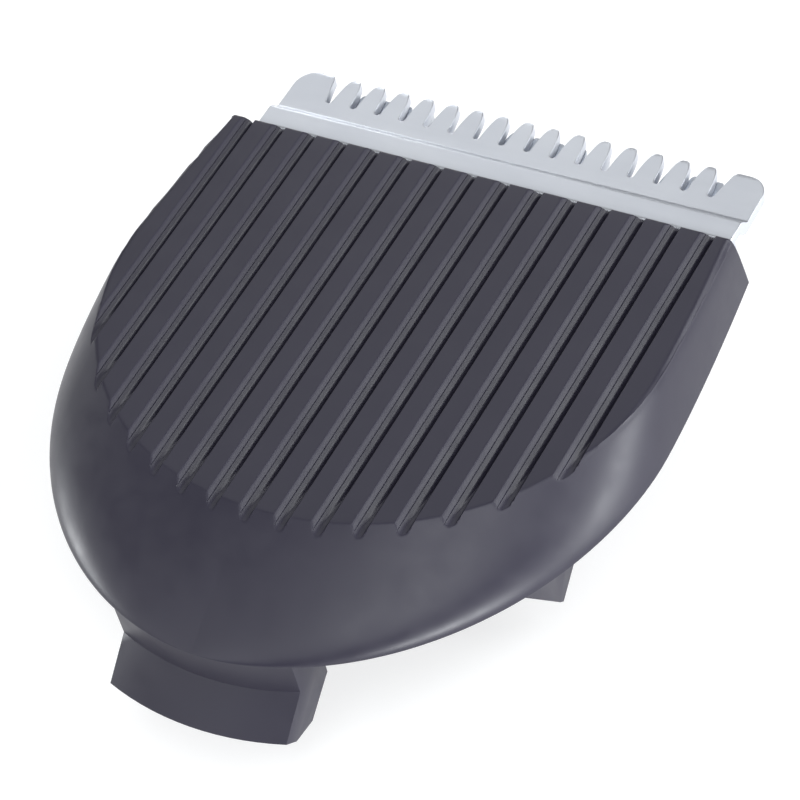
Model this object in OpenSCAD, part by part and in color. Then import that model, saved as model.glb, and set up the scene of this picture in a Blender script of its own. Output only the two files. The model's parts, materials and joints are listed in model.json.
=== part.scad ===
// Click-on cutting head of a hair clipper.
//
// A ribbed cap and a base tray enclose a crank drive. The drive coupling under the head turns a
// short shaft, whose eccentric pin shifts the moving cutter from side to side under the fixed
// guard blade. The origin is on the drive axis at the foot of the coupling collar, +Y points at
// the blade tips and +Z at the ribs. All sizes are millimetres.

/* [Ribbed cap] */
// Distance from one rib to the next
rib_pitch = 2.25; // [2:0.05:2.3]
// Number of ribs across the cap
rib_count = 16; // [8:2:16]
// Width of a groove at the rib faces
groove_w = 0.8; // [0.6:0.02:1.1]
// Depth of a groove
groove_depth = 0.43; // [0.2:0.01:0.6]
// Width of the flat at the bottom of a groove
groove_floor_w = 0.2; // [0.1:0.02:0.4]
// Width of a groove where its bevel meets its steeper wall
groove_bend_w = 0.44; // [0.3:0.02:0.6]
// Depth of that bend below the rib faces
groove_bend_depth = 0.18; // [0.1:0.02:0.19]
// Chamfer on the front ends of the ribs
rib_chamfer = 0.22; // [0.1:0.02:0.4]
// Reach of the apron that closes the gap under the rib fronts
apron_reach = 0.9; // [0.6:0.02:1]
// How far the apron runs back under the ribs
apron_back = 1; // [0.8:0.05:1.2]
// Drop from the rib faces to the top of the apron
apron_drop = 2; // [1.9:0.05:2.1]
// Clearance under the apron for the moving cutter's rivets
apron_gap = 0.3; // [0.2:0.05:0.35]
// Drive axis to the front ends of the ribs
axis_to_front = 15.75; // [15.5:0.05:17.5]
// Half width of the flat ribbed face at its widest
face_half_w = 17.72; // [17.4:0.02:18.4]
// Half width of the flat ribbed face at the front
face_front_half_w = 17.1; // [17:0.05:17.6]
// Front edge to the widest place of the ribbed face
face_waist = 10.5; // [6:0.05:12]
// Length of the ribbed face from front to rear
face_length = 27.25; // [25:0.05:29]
// Exponent of the rounded rear of the ribbed face, 2 is an ellipse
face_fullness = 2.06; // [2:0.02:2.6]
// Half width of the rim at its widest
rim_half_w = 18.98; // [18.7:0.02:20.5]
// Half width of the rim at the front
rim_front_half_w = 17.8; // [17.7:0.05:18.6]
// Front edge to the widest place of the rim
rim_waist = 14.15; // [11:0.05:15.5]
// Length of the rim from front to rear
rim_length = 35.3; // [34.8:0.02:38]
// Exponent of the rounded rear of the rim
rim_fullness = 1.92; // [1.8:0.02:2.4]
// Drop from the rib faces to the rim
rim_drop = 3.52; // [3.2:0.02:4]
// Share of the dome's drop that grows with the square of the way out to the rim
dome_bulge = 0.25; // [0.05:0.05:0.6]
// Wall of the cap beside its cavity
cap_wall = 1.4; // [1:0.05:1.6]
// Thickness of the cap over its cavity
roof_t = 1.4; // [1:0.05:1.6]

/* [Base tray] */
// Depth of the tray below the rim
tray_depth = 3.48; // [3.2:0.02:4]
// Step in from the cap's rim to the tray
tray_reveal = 0.35; // [0.2:0.05:0.6]
// How far the tray wall leans in over its depth
tray_lean = 3.55; // [3.2:0.05:4]
// Wall of the tray
tray_wall = 1.4; // [1:0.05:1.6]
// Thickness of the tray floor
floor_t = 1.2; // [1:0.05:1.4]
// Height of the tongue that centres the cap on the tray
tongue_h = 0.8; // [0.4:0.05:1]
// Thickness of the tongue
tongue_t = 0.8; // [0.6:0.05:1]
// Clearance between the tongue and the cap
tongue_fit = 0.15; // [0.05:0.05:0.3]
// Thickness of the tray's front wall
front_wall_t = 1.4; // [1.2:0.05:1.6]
// Step back from the rib fronts to the tray's front wall
front_setback = 0.3; // [0.2:0.05:0.5]
// Clearance between the front wall and the cutter carrier above it
front_gap = 0.3; // [0.2:0.05:0.5]

/* [Rear tab and side wings] */
// Half width of the rear tab
tab_half_w = 5.87; // [4:0.01:7]
// Thickness of the neck that the tab hangs from
neck_t = 2.36; // [1.8:0.02:3]
// Step in from the rim's rear to the neck
neck_inset = 0.16; // [0.1:0.02:0.4]
// Drop from the rib faces to the foot of the neck
neck_drop = 5.85; // [5.4:0.05:6.4]
// Radius of the neck's outer face, seen from above
neck_r = 16.65; // [15:0.05:18]
// How far the tab stands out behind the neck
tab_reach = 2.25; // [1.5:0.05:3]
// Drop from the neck's foot to the tab's outer edge
tab_slope_drop = 1.85; // [1.4:0.05:2.4]
// Height of the bevel under the tab's outer edge
tab_bevel = 0.8; // [0.4:0.05:1.2]
// Drop from that bevel to the tab's lowest edge
tab_foot_drop = 0.28; // [0.1:0.02:0.5]
// Step in from the neck's face to the tab's lowest edge
tab_foot_inset = 0.15; // [0.05:0.05:0.5]
// Rise of the tab's underside towards its inner face
tab_rise = 1.6; // [1:0.05:2]
// Drive axis to the outer face of a side wing
wing_half_span = 14.6; // [13:0.1:15]
// Thickness of a side wing
wing_t = 1.6; // [1.2:0.05:2]
// Depth of a wing's tip below the rib faces
wing_drop = 10.58; // [9:0.02:11]
// Drop from the rim to a wing's top, inside the tray's wall
wing_root_drop = 1.4; // [1:0.1:1.8]
// Size of the flat that blunts a wing's tip
wing_blunt = 0.34; // [0.1:0.02:0.6]
// Drive axis back to the wing's tip
wing_tip_back = 4.6; // [3:0.1:6]
// Slope of the wing's rear edge in degrees
wing_rear_angle = 54; // [45:1:65]
// Slope of the wing's front edge in degrees
wing_front_angle = 38; // [30:1:45]

/* [Coupling collar] */
// Height of the collar below the tray
collar_height = 6; // [5.8:0.1:9]
// Outer radius of the collar
collar_r = 9.6; // [9:0.05:9.8]
// Wall of the collar
collar_wall = 1.4; // [1.1:0.05:1.6]
// Width of the collar's flange under the tray
collar_flange_w = 0.6; // [0.4:0.05:0.7]
// Thickness of the collar's flange
collar_flange_t = 0.8; // [0.6:0.05:1]
// Height of the click groove above the collar's foot
click_height = 3.2; // [2.8:0.05:3.6]
// Width of the click groove
click_w = 0.8; // [0.5:0.05:1]
// Depth of the click groove
click_depth = 0.4; // [0.2:0.05:0.6]
// Height of the slope that leads into the click groove
click_lead = 0.2; // [0.1:0.05:0.3]
// Width of the key slots at the front and rear of the collar
key_w = 3; // [2:0.1:4]
// Height of the key slots
key_h = 1.6; // [1:0.1:2.4]

/* [Blades] */
// Width of the guard blade
guard_w = 32.6; // [31.6:0.1:33.4]
// Thickness of the guard blade
guard_t = 0.65; // [0.5:0.05:0.75]
// Rib fronts to the tips of the guard teeth
guard_reach = 7.02; // [6.8:0.02:7.6]
// Distance from one guard tooth to the next
tooth_pitch = 1.77; // [1.7:0.01:1.8]
// Number of guard teeth between the corner plates
tooth_count = 15; // [9:2:15]
// Length of a guard tooth
tooth_length = 2.38; // [1.8:0.02:2.6]
// Width of the gap at the root of the guard teeth
tooth_gap = 0.4; // [0.3:0.02:0.6]
// Width of a guard tooth at its tip
tooth_tip_w = 0.22; // [0.1:0.02:0.4]
// Exponent of the teeth's rounded sides
tooth_shape = 1.7; // [1.3:0.1:2.5]
// Corner radius of the two corner plates
corner_r = 1.5; // [0.6:0.1:1.6]
// Radius of a corner plate's inner corner
plate_round = 0.3; // [0.1:0.05:0.4]
// How far the inner side of a corner plate leans outwards
plate_lean = 0.48; // [0.2:0.02:0.6]
// Drop from the rib faces to the raised rear strip of the guard
strip_drop = 1.68; // [1.6:0.02:1.9]
// Height of the step between the strip and the toothed plate
step_h = 0.65; // [0.5:0.05:0.7]
// Rib fronts to the front edge of the strip
strip_reach = 2.65; // [2.4:0.05:3]
// Length of the sloping step in front of the strip
step_run = 0.9; // [0.6:0.05:1.2]
// How far the underside of the step lies behind its top
step_lag = 0.45; // [0.3:0.05:0.6]
// Rib fronts to the back of the guard's turned-down flange
flange_gap = 1.08; // [0.8:0.02:1.3]
// Chamfer on the bend over the flange
flange_bend = 0.26; // [0.1:0.02:0.4]
// Clearance between the flange and the cutter below it
flange_clear = 0.15; // [0.1:0.05:0.2]
// Thickness of the moving cutter
cutter_t = 0.5; // [0.4:0.05:0.6]
// Distance from one cutter tooth to the next
cutter_pitch = 1.537; // [1.45:0.001:1.55]
// Number of cutter teeth
cutter_teeth = 18; // [10:2:18]
// Guard tips to cutter tips
cutter_setback = 0.54; // [0.4:0.02:0.8]
// Length of a cutter tooth
cutter_tooth_length = 2.1; // [1.6:0.05:2.3]
// Width of the gap at the root of the cutter teeth
cutter_gap = 0.5; // [0.4:0.02:0.6]
// Width of a cutter tooth at its tip
cutter_tip_w = 0.3; // [0.2:0.02:0.4]
// Half width of the cutter behind its teeth
cutter_half_w = 12.4; // [12:0.05:12.5]
// Clearance between the flange and the cutter's wide front part
shoulder_gap = 0.6; // [0.4:0.05:0.8]
// Sliding clearance between the cutter and the guard
slide_gap = 0.02; // [0.01:0.01:0.05]
// Width of a guard arm inside the head
arm_w = 1.5; // [1.2:0.05:1.6]
// Clearance between a guard arm and the cutter at the end of its stroke
arm_gap = 0.2; // [0.15:0.05:0.3]
// Radius of the screw eye at the end of a guard arm
eye_r = 2; // [1.7:0.05:2.2]
// Drive axis to the guard's screw eyes, along Y
eye_ahead = 6.5; // [6:0.05:6.7]
// Radius of the four rivets of the cutter
rivet_r = 0.6; // [0.4:0.05:0.8]
// Radius of a rivet's head
rivet_head_r = 0.95; // [0.8:0.05:1.1]
// Height of a rivet's head
rivet_head_h = 0.3; // [0.2:0.05:0.3]
// How far a rivet reaches into the carrier's foot
rivet_depth = 0.85; // [0.6:0.05:1]
// Number of rivets
rivet_count = 4; // [2:2:4]
// Distance from one rivet to the next
rivet_pitch = 6.6; // [5:0.1:7]
// Rear edge of the cutter to the row of rivets
rivet_ahead = 2.2; // [1.6:0.1:2.6]

/* [Cutter carrier] */
// Length of the carrier's foot under the cutter
foot_length = 7.9; // [7.4:0.05:8.2]
// Thickness of the carrier's foot
foot_t = 1.4; // [1.3:0.05:1.5]
// Rib fronts to the front edge of the carrier's foot
foot_reach = 0.95; // [0.6:0.05:1]
// Length of the bridge that joins the foot and the fork
bridge_length = 0.9; // [0.6:0.05:1.2]
// Half width of the fork plate
fork_half_w = 3.6; // [3.3:0.05:4]
// Thickness of the fork plate
fork_t = 1.5; // [1.3:0.05:1.6]
// Clearance between the eccentric disc and the fork above it
fork_gap = 0.3; // [0.2:0.05:0.4]
// Running clearance between the roller and the fork
fork_fit = 0.03; // [0.02:0.01:0.06]
// Clearance between the roller and the closed end of the fork
fork_end_gap = 0.3; // [0.2:0.05:0.5]
// Drive axis back to the open end of the fork
fork_back = 3.2; // [3:0.05:3.6]
// Width of the guide rail under the foot
rail_w = 0.8; // [0.6:0.05:0.9]
// Height of the guide rail inside the foot
rail_h = 0.65; // [0.5:0.05:0.8]
// Clearance between the guide rail and its groove
rail_fit = 0.1; // [0.05:0.01:0.15]

/* [Drive] */
// Distance from the shaft axis to the eccentric pin
crank_throw = 1.1; // [0.9:0.05:1.1]
// Radius of the drive shaft
shaft_r = 1; // [0.95:0.01:1.1]
// Radial running clearance of the shaft in its bushes
shaft_fit = 0.04; // [0.02:0.01:0.08]
// Wall of a bush
bush_wall = 0.76; // [0.6:0.02:1]
// Radius of a bush flange
bush_flange_r = 2.6; // [2.3:0.05:2.9]
// Thickness of a bush flange
bush_flange_t = 0.3; // [0.25:0.05:0.4]
// Thickness of the felt ring between the bushes
felt_t = 0.4; // [0.3:0.05:0.6]
// Wall of the hub round the bushes
hub_wall = 1.8; // [1.4:0.1:2.2]
// How far the hub stands below the tray
hub_drop = 0.6; // [0.4:0.05:0.8]
// Axial clearance at the shaft's shoulders
axial_gap = 0.05; // [0.03:0.01:0.1]
// Thickness of the thrust washer
washer_t = 0.15; // [0.1:0.01:0.2]
// Radius of the thrust washer
washer_r = 2.4; // [2:0.05:2.6]
// Radius of the eccentric disc
disc_r = 4; // [3.5:0.05:4.4]
// Thickness of the eccentric disc
disc_t = 1.4; // [1.3:0.05:1.5]
// Radius of the two holes that lighten the disc on the pin's side
relief_r = 0.68; // [0.4:0.02:0.8]
// Disc centre to those holes
relief_at = 2.9; // [2.6:0.1:3]
// Angle of those holes from the line across the pin
relief_angle = 35; // [25:5:45]
// Depth of the shaft's and the pin's seats in the disc
disc_seat = 0.6; // [0.5:0.02:0.64]
// Radius of the eccentric pin
pin_r = 0.8; // [0.6:0.02:0.9]
// Wall of the roller on the pin
roller_wall = 0.46; // [0.4:0.02:0.5]
// Running clearance of the roller on the pin
roller_fit = 0.04; // [0.02:0.01:0.08]
// How far the pin's head stands out over the roller
pin_head_over = 0.2; // [0.1:0.02:0.3]
// Height of the pin's head over the roller
pin_head_h = 0.2; // [0.15:0.01:0.3]
// Thickness of the retaining ring under the lower bush
ring_t = 0.2; // [0.15:0.01:0.25]
// Radius of the retaining ring
ring_r = 1.8; // [1.6:0.05:1.9]
// Depth of the ring grooves in the shaft
ring_seat = 0.2; // [0.15:0.01:0.25]

/* [Drive coupling] */
// Radius of the coupling
coupling_r = 3.2; // [3:0.05:3.6]
// Radius of the drive socket
socket_r = 2; // [1.9:0.02:2.1]
// Depth of the drive socket
socket_depth = 1.7; // [1.5:0.05:1.9]
// Height of the coupling's mouth above the collar's foot
coupling_recess = 0.3; // [0.2:0.05:0.6]
// Width of the drive slots across the socket
slot_w = 1.2; // [0.8:0.05:1.3]
// Depth of the drive slots into the socket's wall
slot_depth = 0.6; // [0.4:0.05:0.8]
// Height of the clip pocket over the socket
clip_pocket_h = 0.5; // [0.45:0.05:0.6]
// Radius of the clip pocket
clip_pocket_r = 1.7; // [1.6:0.02:1.8]
// Thickness of the web that slides on the shaft
web_t = 0.7; // [0.6:0.05:0.8]
// Depth of the spring seat over the web
spring_seat_h = 0.8; // [0.6:0.05:1]
// Radius of the spring seat
spring_seat_r = 2.1; // [1.95:0.02:2.3]
// Side of the shaft's square end
square_w = 1.4; // [1.3:0.02:1.4]
// Clearance of the coupling on the square
square_fit = 0.05; // [0.03:0.01:0.08]
// Thickness of the coupling clip
clip_t = 0.3; // [0.25:0.01:0.35]
// Radius of the coupling clip
clip_r = 1.4; // [1.3:0.02:1.5]
// Radius of the shaft's core in the clip's groove
clip_core_r = 0.55; // [0.5:0.01:0.6]
// Radius of the spring, to the middle of its wire
spring_r = 1.55; // [1.4:0.01:1.6]
// Radius of the spring's wire
spring_wire_r = 0.13; // [0.1:0.01:0.15]
// Number of turns of the spring
spring_turns = 3; // [2:0.5:3]

/* [Leaf springs] */
// Drive axis to the middle of a leaf spring
leaf_x = 7.2; // [6.6:0.1:8]
// Width of a leaf spring
leaf_w = 3; // [2:0.1:3.2]
// Thickness of a leaf spring
leaf_t = 0.25; // [0.2:0.01:0.3]
// Drive axis to the rear edge of a leaf spring
leaf_start = 2.6; // [2:0.1:3]
// Length of the leaf's flat seat
leaf_seat = 3; // [2.6:0.1:3.2]
// Length of the leaf's raised tongue
leaf_tongue = 6.6; // [6:0.1:7]
// Clearance under the carrier's foot
leaf_gap = 0.1; // [0.05:0.01:0.2]
// Sweep of the tongue's curve in degrees
leaf_sweep = 150; // [120:5:170]
// Radius of the stake that holds a leaf
stake_r = 0.6; // [0.5:0.02:0.8]
// Height of the stake over the leaf
stake_h = 0.25; // [0.15:0.05:0.4]
// Clearance of the leaf round its stake
stake_fit = 0.05; // [0.03:0.01:0.1]

/* [Screws] */
// Radius of a screw's shank
screw_r = 0.9; // [0.7:0.02:1]
// Radius of a screw's head
screw_head_r = 1.6; // [1.4:0.02:1.65]
// Height of a screw's head
screw_head_h = 0.7; // [0.5:0.05:0.75]
// Height of the upright edge of a screw's head
screw_edge_h = 0.35; // [0.2:0.05:0.5]
// Radius of the flat on a screw's head
screw_flat_r = 1.1; // [0.9:0.05:1.2]
// Length of the cross recess
recess_length = 1.6; // [1:0.1:1.8]
// Width of the cross recess
recess_w = 0.3; // [0.2:0.05:0.4]
// Depth of the cross recess
recess_depth = 0.28; // [0.2:0.02:0.35]
// Wall of the bosses round the screws
boss_wall = 1.1; // [0.9:0.05:1.2]
// Clearance of a screw in a through hole
screw_clear = 0.12; // [0.08:0.02:0.2]
// Clearance of a screw in its boss
thread_clear = 0.02; // [0.01:0.01:0.04]
// Floor left under a blade screw's hole in its post
post_floor_t = 0.5; // [0.3:0.05:0.8]
// Clearance under the end of a blade screw
screw_end_gap = 0.2; // [0.1:0.05:0.3]
// How far a housing screw reaches past the rim
screw_reach = 0.5; // [0.3:0.05:0.8]
// Clearance beside the collar's flange for the heads of the front housing screws
front_screw_gap = 0.6; // [0.4:0.05:0.7]
// Front housing screws, ahead of the drive axis
front_screw_y = 1.7; // [1.6:0.05:1.8]
// Clearance behind the collar's flange for the heads of the rear housing screws
rear_screw_gap = 0.4; // [0.3:0.05:0.6]
// Angle of the rear housing screws from the middle of the head
rear_screw_angle = 26.8; // [24:0.1:30]

/* [Hidden] */
$fn = 64;

// A cut runs this far past the face that it opens.
cut = 0.5;
// Steps of the bowed sides, of the rounded rear outline and of the dome.
side_steps = 5;
outline_steps = 24;
dome_steps = 6;
// Exponent of the bowed sides.
side_bow = 1.5;

// Levels of the housing, from the foot of the collar up.
z_tray = collar_height;
z_rim = z_tray + tray_depth;
head_height = z_rim + rim_drop;
z_roof = head_height - roof_t;
z_floor = z_tray + floor_t;
z_hub = z_tray - hub_drop;
z_tongue = z_rim + tongue_h;
y_front = axis_to_front;

// Levels of the blades and the carrier.
z_strip = head_height - strip_drop;
z_plate = z_strip - step_h;
z_guard_under = z_plate - guard_t;
z_cutter = z_guard_under - slide_gap;
z_foot_top = z_cutter - cutter_t;
z_foot = z_foot_top - foot_t;
y_strip = y_front + strip_reach;
y_step = y_strip + step_run;
y_flange = y_front + flange_gap;
y_tips = y_front + guard_reach;
y_roots = y_tips - tooth_length;
y_cutter_tips = y_tips - cutter_setback;
y_cutter_roots = y_cutter_tips - cutter_tooth_length;
y_foot_front = y_front + foot_reach;
y_foot_rear = y_foot_front - foot_length;
y_cutter_rear = y_foot_rear + bridge_length;
arm_x = cutter_half_w + crank_throw + arm_gap;
z_arm = z_guard_under - guard_t;
eye_x = arm_x + arm_w - eye_r;

// Levels of the drive, from the tray floor up and from the hub down.
bush_bore_r = shaft_r + shaft_fit;
bush_r = bush_bore_r + bush_wall;
hub_r = bush_r + hub_wall;
z_washer = z_floor + bush_flange_t + axial_gap;
z_disc = z_washer + washer_t;
z_disc_top = z_disc + disc_t;
z_roller = z_disc_top + axial_gap;
roller_r = pin_r + roller_fit + roller_wall;
z_fork = z_disc_top + fork_gap;
z_fork_top = z_fork + fork_t;
z_roller_top = z_fork_top + axial_gap;
z_ring_top = z_hub - bush_flange_t - axial_gap;
z_ring = z_ring_top - ring_t;
// A stroke in proportion to the crank's angle departs from its sine by up to this share of the
// throw, and the fork clears the roller by it.
sine_share = 0.21;
fork_slot_half = roller_r + fork_fit + sine_share * crank_throw;
fork_slot_end = crank_throw + roller_r + fork_end_gap;

// Levels of the coupling.
z_mouth = coupling_recess;
z_socket = z_mouth + socket_depth;
z_web = z_socket + clip_pocket_h;
z_web_top = z_web + web_t;
z_coupling_top = z_web_top + spring_seat_h;
z_clip = z_web - axial_gap - clip_t;
z_shaft_end = z_socket + axial_gap;

// Screw places, outside the collar's flange.
screw_ring = collar_r + collar_flange_w + screw_head_r;
front_screw_x = screw_ring + front_screw_gap;
rear_screw_x = (screw_ring + rear_screw_gap) * sin(rear_screw_angle);
rear_screw_y = (screw_ring + rear_screw_gap) * cos(rear_screw_angle);
screw_spots = [[front_screw_x, front_screw_y], [-front_screw_x, front_screw_y],
               [rear_screw_x, -rear_screw_y], [-rear_screw_x, -rear_screw_y]];
boss_r = screw_r + boss_wall;
z_screw_end = z_rim + screw_reach;
rail_y = y_front - front_setback - front_wall_t / 2;

// Half outline of the head, seen from above, from the front corner to the middle of the rear:
// a gently bowed side up to the waist, then a quarter of a superellipse.
function bowed_side(front, wide, waist) =
    [for (i = [0:side_steps - 1]) let (s = i / side_steps)
        [front + (wide - front) * (1 - pow(1 - s, side_bow)), -waist * s]];
function round_rear(wide, waist, len, fullness) =
    [for (i = [0:outline_steps]) let (a = 90 * i / outline_steps)
        [wide * pow(cos(a), 2 / fullness), -waist - (len - waist) * pow(sin(a), 2 / fullness)]];
function half_outline(front, wide, waist, len, fullness) =
    concat(bowed_side(front, wide, waist), round_rear(wide, waist, len, fullness));

// Closed outline, from a half outline and its mirror image.
function closed(half) =
    let (n = len(half))
    concat(half, [for (i = [n - 2:-1:0]) [-half[i][0], half[i][1]]]);

// Outline of the ribbed face and of the rim, stepped in by inset.
function face_outline(inset) =
    half_outline(face_front_half_w - inset, face_half_w - inset, face_waist,
                 face_length - inset, face_fullness);
function rim_outline(inset) =
    half_outline(rim_front_half_w - inset, rim_half_w - inset, rim_waist,
                 rim_length - inset, rim_fullness);

// Drop of the dome at a share of the way from the face out to the rim, and that share at height z.
function dome_drop(share) = rim_drop * ((1 - dome_bulge) * share + dome_bulge * share * share);
function dome_share(z) =
    let (t = min(1, max(0, (head_height - z) / rim_drop)), a = 1 - dome_bulge)
    (sqrt(a * a + 4 * dome_bulge * t) - a) / (2 * dome_bulge);

// Outline of the dome at height z: a blend of the face and the rim.
function dome_outline(z, inset) =
    let (a = face_outline(inset), b = rim_outline(inset), s = dome_share(z))
    [for (i = [0:len(a) - 1]) a[i] * (1 - s) + b[i] * s];

// Solid through outlines of equal length, given as [z, half outline] from the bottom up. Each end
// is closed by a fan of triangles round a point on the middle line.
module loft(levels) {
    rings = [for (l = levels) [for (q = closed(l[1])) [q[0], y_front + q[1], l[0]]]];
    n = len(rings[0]);
    last = len(rings) - 1;
    middles = [for (k = [0, last]) [0, y_front - face_waist, levels[k][0]]];
    points = concat([for (r = rings) for (q = r) q], middles);
    sides = [for (k = [0:last - 1]) for (i = [0:n - 1])
        let (j = (i + 1) % n)
        each [[k * n + i, k * n + j, (k + 1) * n + j], [k * n + i, (k + 1) * n + j, (k + 1) * n + i]]];
    ends = [for (i = [0:n - 1])
        let (j = (i + 1) % n, m = len(points) - 2)
        each [[j, i, m], [last * n + i, last * n + j, m + 1]]];
    polyhedron(points, concat(sides, ends), convexity = 6);
}

// A box given by its lowest and highest corners.
module span(low, high) {
    translate(low) cube(high - low);
}

// A round bar along Z.
module bar(r, z0, z1) {
    translate([0, 0, z0]) cylinder(r = r, h = z1 - z0);
}

// A ring along Z, open for a gap angle where it has one.
module ring(inner, outer, z0, z1, gap = 0) {
    rotate([0, 0, 90 + gap / 2]) rotate_extrude(angle = 360 - gap)
        polygon([[inner, z0], [outer, z0], [outer, z1], [inner, z1]]);
}

// The same on both sides of the head.
module both_sides() {
    children();
    mirror([1, 0, 0]) children();
}

module at_screws() {
    for (q = screw_spots) translate([q[0], q[1], 0]) children();
}

module at_eye() {
    translate([eye_x, eye_ahead, 0]) children();
}

// Section of one groove: a wide bevel, then a steeper wall down to a narrow floor.
module groove_section() {
    half = groove_w / 2;
    bend = groove_bend_w / 2;
    foot = groove_floor_w / 2;
    polygon([[-half - cut, cut], [half + cut, cut], [half, 0], [bend, -groove_bend_depth],
             [foot, -groove_depth], [-foot, -groove_depth], [-bend, -groove_bend_depth], [-half, 0]]);
}

module grooves() {
    first = -(rib_count - 2) / 2;
    for (i = [0:rib_count - 2])
        translate([(first + i) * rib_pitch, y_front + cut, head_height])
            rotate([90, 0, 0]) linear_extrude(rim_length + 2 * cut) groove_section();
}

// The cap is a dome with a flat ribbed face, hollow below and open at the front.
module cap_shell() {
    steps = [for (i = [dome_steps:-1:0]) head_height - dome_drop(i / dome_steps)];
    difference() {
        loft([for (z = steps) [z, dome_outline(z, 0)]]);
        difference() {
            loft([[z_rim - cut, dome_outline(z_tongue, cap_wall)],
                  [z_tongue, dome_outline(z_tongue, cap_wall)],
                  [z_roof, dome_outline(z_roof, cap_wall)]]);
            at_screws() bar(boss_r, z_rim - 2 * cut, z_roof + cut);
        }
        span([-face_front_half_w + cap_wall, y_front - cut, z_rim - cut],
             [face_front_half_w - cap_wall, y_front + cut, z_roof]);
        grooves();
        translate([0, y_front, head_height]) rotate([45, 0, 0])
            cube([3 * rim_half_w, rib_chamfer * sqrt(2), rib_chamfer * sqrt(2)], center = true);
    }
}

// The apron closes the gap between the rib fronts and the guard, over the moving cutter.
module apron() {
    half = face_front_half_w - cap_wall + cut;
    span([-half, y_front - apron_back, z_cutter + rivet_head_h + apron_gap],
         [half, y_front - rib_chamfer, z_roof + cut]);
    span([-half, y_front - apron_back, z_cutter + rivet_head_h + apron_gap],
         [half, y_front + apron_reach, head_height - apron_drop]);
}

module top_housing() {
    color("#403f46") difference() {
        union() {
            cap_shell();
            apron();
            at_screws() bar(boss_r, z_floor, z_rim + cut);
        }
        at_screws() bar(screw_r + thread_clear, z_floor - cut, z_screw_end + cut);
    }
}

// Inset of the tray's outside at height z.
function tray_inset(z) = tray_reveal + tray_lean * (z_rim - z) / tray_depth;

// Inner face of the tongue, which also bounds the tray's hollow at the rim.
function tongue_inside() = dome_outline(z_tongue, cap_wall + tongue_fit + tongue_t);

// The tray with its tongue, neck, tab and wings; the hollow is cut last, through all of them.
module tray() {
    passage = arm_x + arm_w + arm_gap;
    y_wall = y_front - front_setback - front_wall_t;
    difference() {
        union() {
            loft([[z_tray, rim_outline(tray_inset(z_tray))], [z_rim, rim_outline(tray_reveal)]]);
            loft([[z_rim - cut, dome_outline(z_tongue, cap_wall + tongue_fit)],
                  [z_tongue, dome_outline(z_tongue, cap_wall + tongue_fit)]]);
            rear_tab();
            both_sides() side_wing();
        }
        difference() {
            loft([[z_floor, rim_outline(tray_inset(z_floor) + tray_wall)],
                  [z_rim, tongue_inside()], [z_tongue + cut, tongue_inside()]]);
            span([-rim_half_w, y_wall, z_floor - cut], [rim_half_w, y_front, z_foot - front_gap]);
        }
        span([-rim_half_w, y_front - front_setback, z_tray - cut],
             [rim_half_w, y_front + cut, z_tongue + cut]);
        span([-passage, y_wall - cut, z_foot - front_gap], [passage, y_front, z_tongue + cut]);
        span([-rim_half_w, y_front - apron_back - tongue_fit, z_rim],
             [rim_half_w, y_front + cut, z_tongue + cut]);
    }
}

// The neck and the tab are one profile turned round an upright axis ahead of the neck.
module rear_tab() {
    neck_y = y_front - rim_length + neck_inset + neck_r;
    z_neck = head_height - neck_drop;
    z_edge = z_neck - tab_slope_drop;
    z_low = z_edge - tab_bevel - tab_foot_drop;
    inner = neck_r - neck_t;
    tip = neck_r + tab_reach;
    intersection() {
        translate([0, neck_y, 0]) rotate([0, 0, 180]) rotate_extrude(angle = 180)
            polygon([[inner, z_rim], [neck_r, z_rim], [neck_r, z_neck],
                     [tip, z_edge], [tip - tab_bevel, z_edge - tab_bevel],
                     [neck_r - tab_foot_inset, z_low], [inner, z_low + tab_rise]]);
        span([-tab_half_w, -2 * rim_length, 0], [tab_half_w, 0, z_rim]);
    }
}

// A side wing is a triangular key with a blunted tip, seen along X.
module side_wing() {
    z_tip = head_height - wing_drop;
    rise = z_rim - wing_root_drop - z_tip;
    translate([wing_half_span, -wing_tip_back, z_tip]) rotate([90, 0, -90])
        linear_extrude(wing_t)
            polygon([[0, 0], [wing_blunt, wing_blunt],
                     [wing_blunt + rise / tan(wing_rear_angle), wing_blunt + rise],
                     [-rise / tan(wing_front_angle), rise]]);
}

module base_housing() {
    color("#3b3a41") difference() {
        union() {
            tray();
            bar(hub_r, z_hub, z_floor);
            both_sides() at_eye() bar(eye_r, z_floor, z_arm);
            both_sides() translate([leaf_x, leaf_start + leaf_seat / 2, 0])
                bar(stake_r, z_floor - cut, z_floor + leaf_t + stake_h);
            span([-arm_x, rail_y - rail_w / 2, z_foot - front_gap - cut],
                 [arm_x, rail_y + rail_w / 2, z_foot + rail_h]);
        }
        at_screws() bar(boss_r + tongue_fit, z_floor, z_tongue + cut);
        bar(bush_r, z_hub - cut, z_floor + cut);
        at_screws() bar(screw_r + screw_clear, z_tray - cut, z_floor + cut);
        both_sides() at_eye() bar(screw_r + thread_clear, z_floor + post_floor_t, z_arm + cut);
    }
}

module coupling_collar() {
    inner = collar_r - collar_wall;
    color("#37363d") difference() {
        rotate_extrude() polygon([
            [inner, 0], [collar_r, 0], [collar_r, click_height],
            [collar_r - click_depth, click_height + click_lead],
            [collar_r - click_depth, click_height + click_w], [collar_r, click_height + click_w],
            [collar_r, z_tray - collar_flange_t], [collar_r + collar_flange_w, z_tray - collar_flange_t],
            [collar_r + collar_flange_w, z_tray], [inner, z_tray]]);
        span([-key_w / 2, -collar_r - cut, -cut], [key_w / 2, collar_r + cut, key_h]);
    }
}

// Half width of a tooth at share s of its length: full at the root, rounded to the tip.
function tooth_half(s, root, tip) = tip + (root - tip) * (1 - pow(s, tooth_shape));

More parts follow.
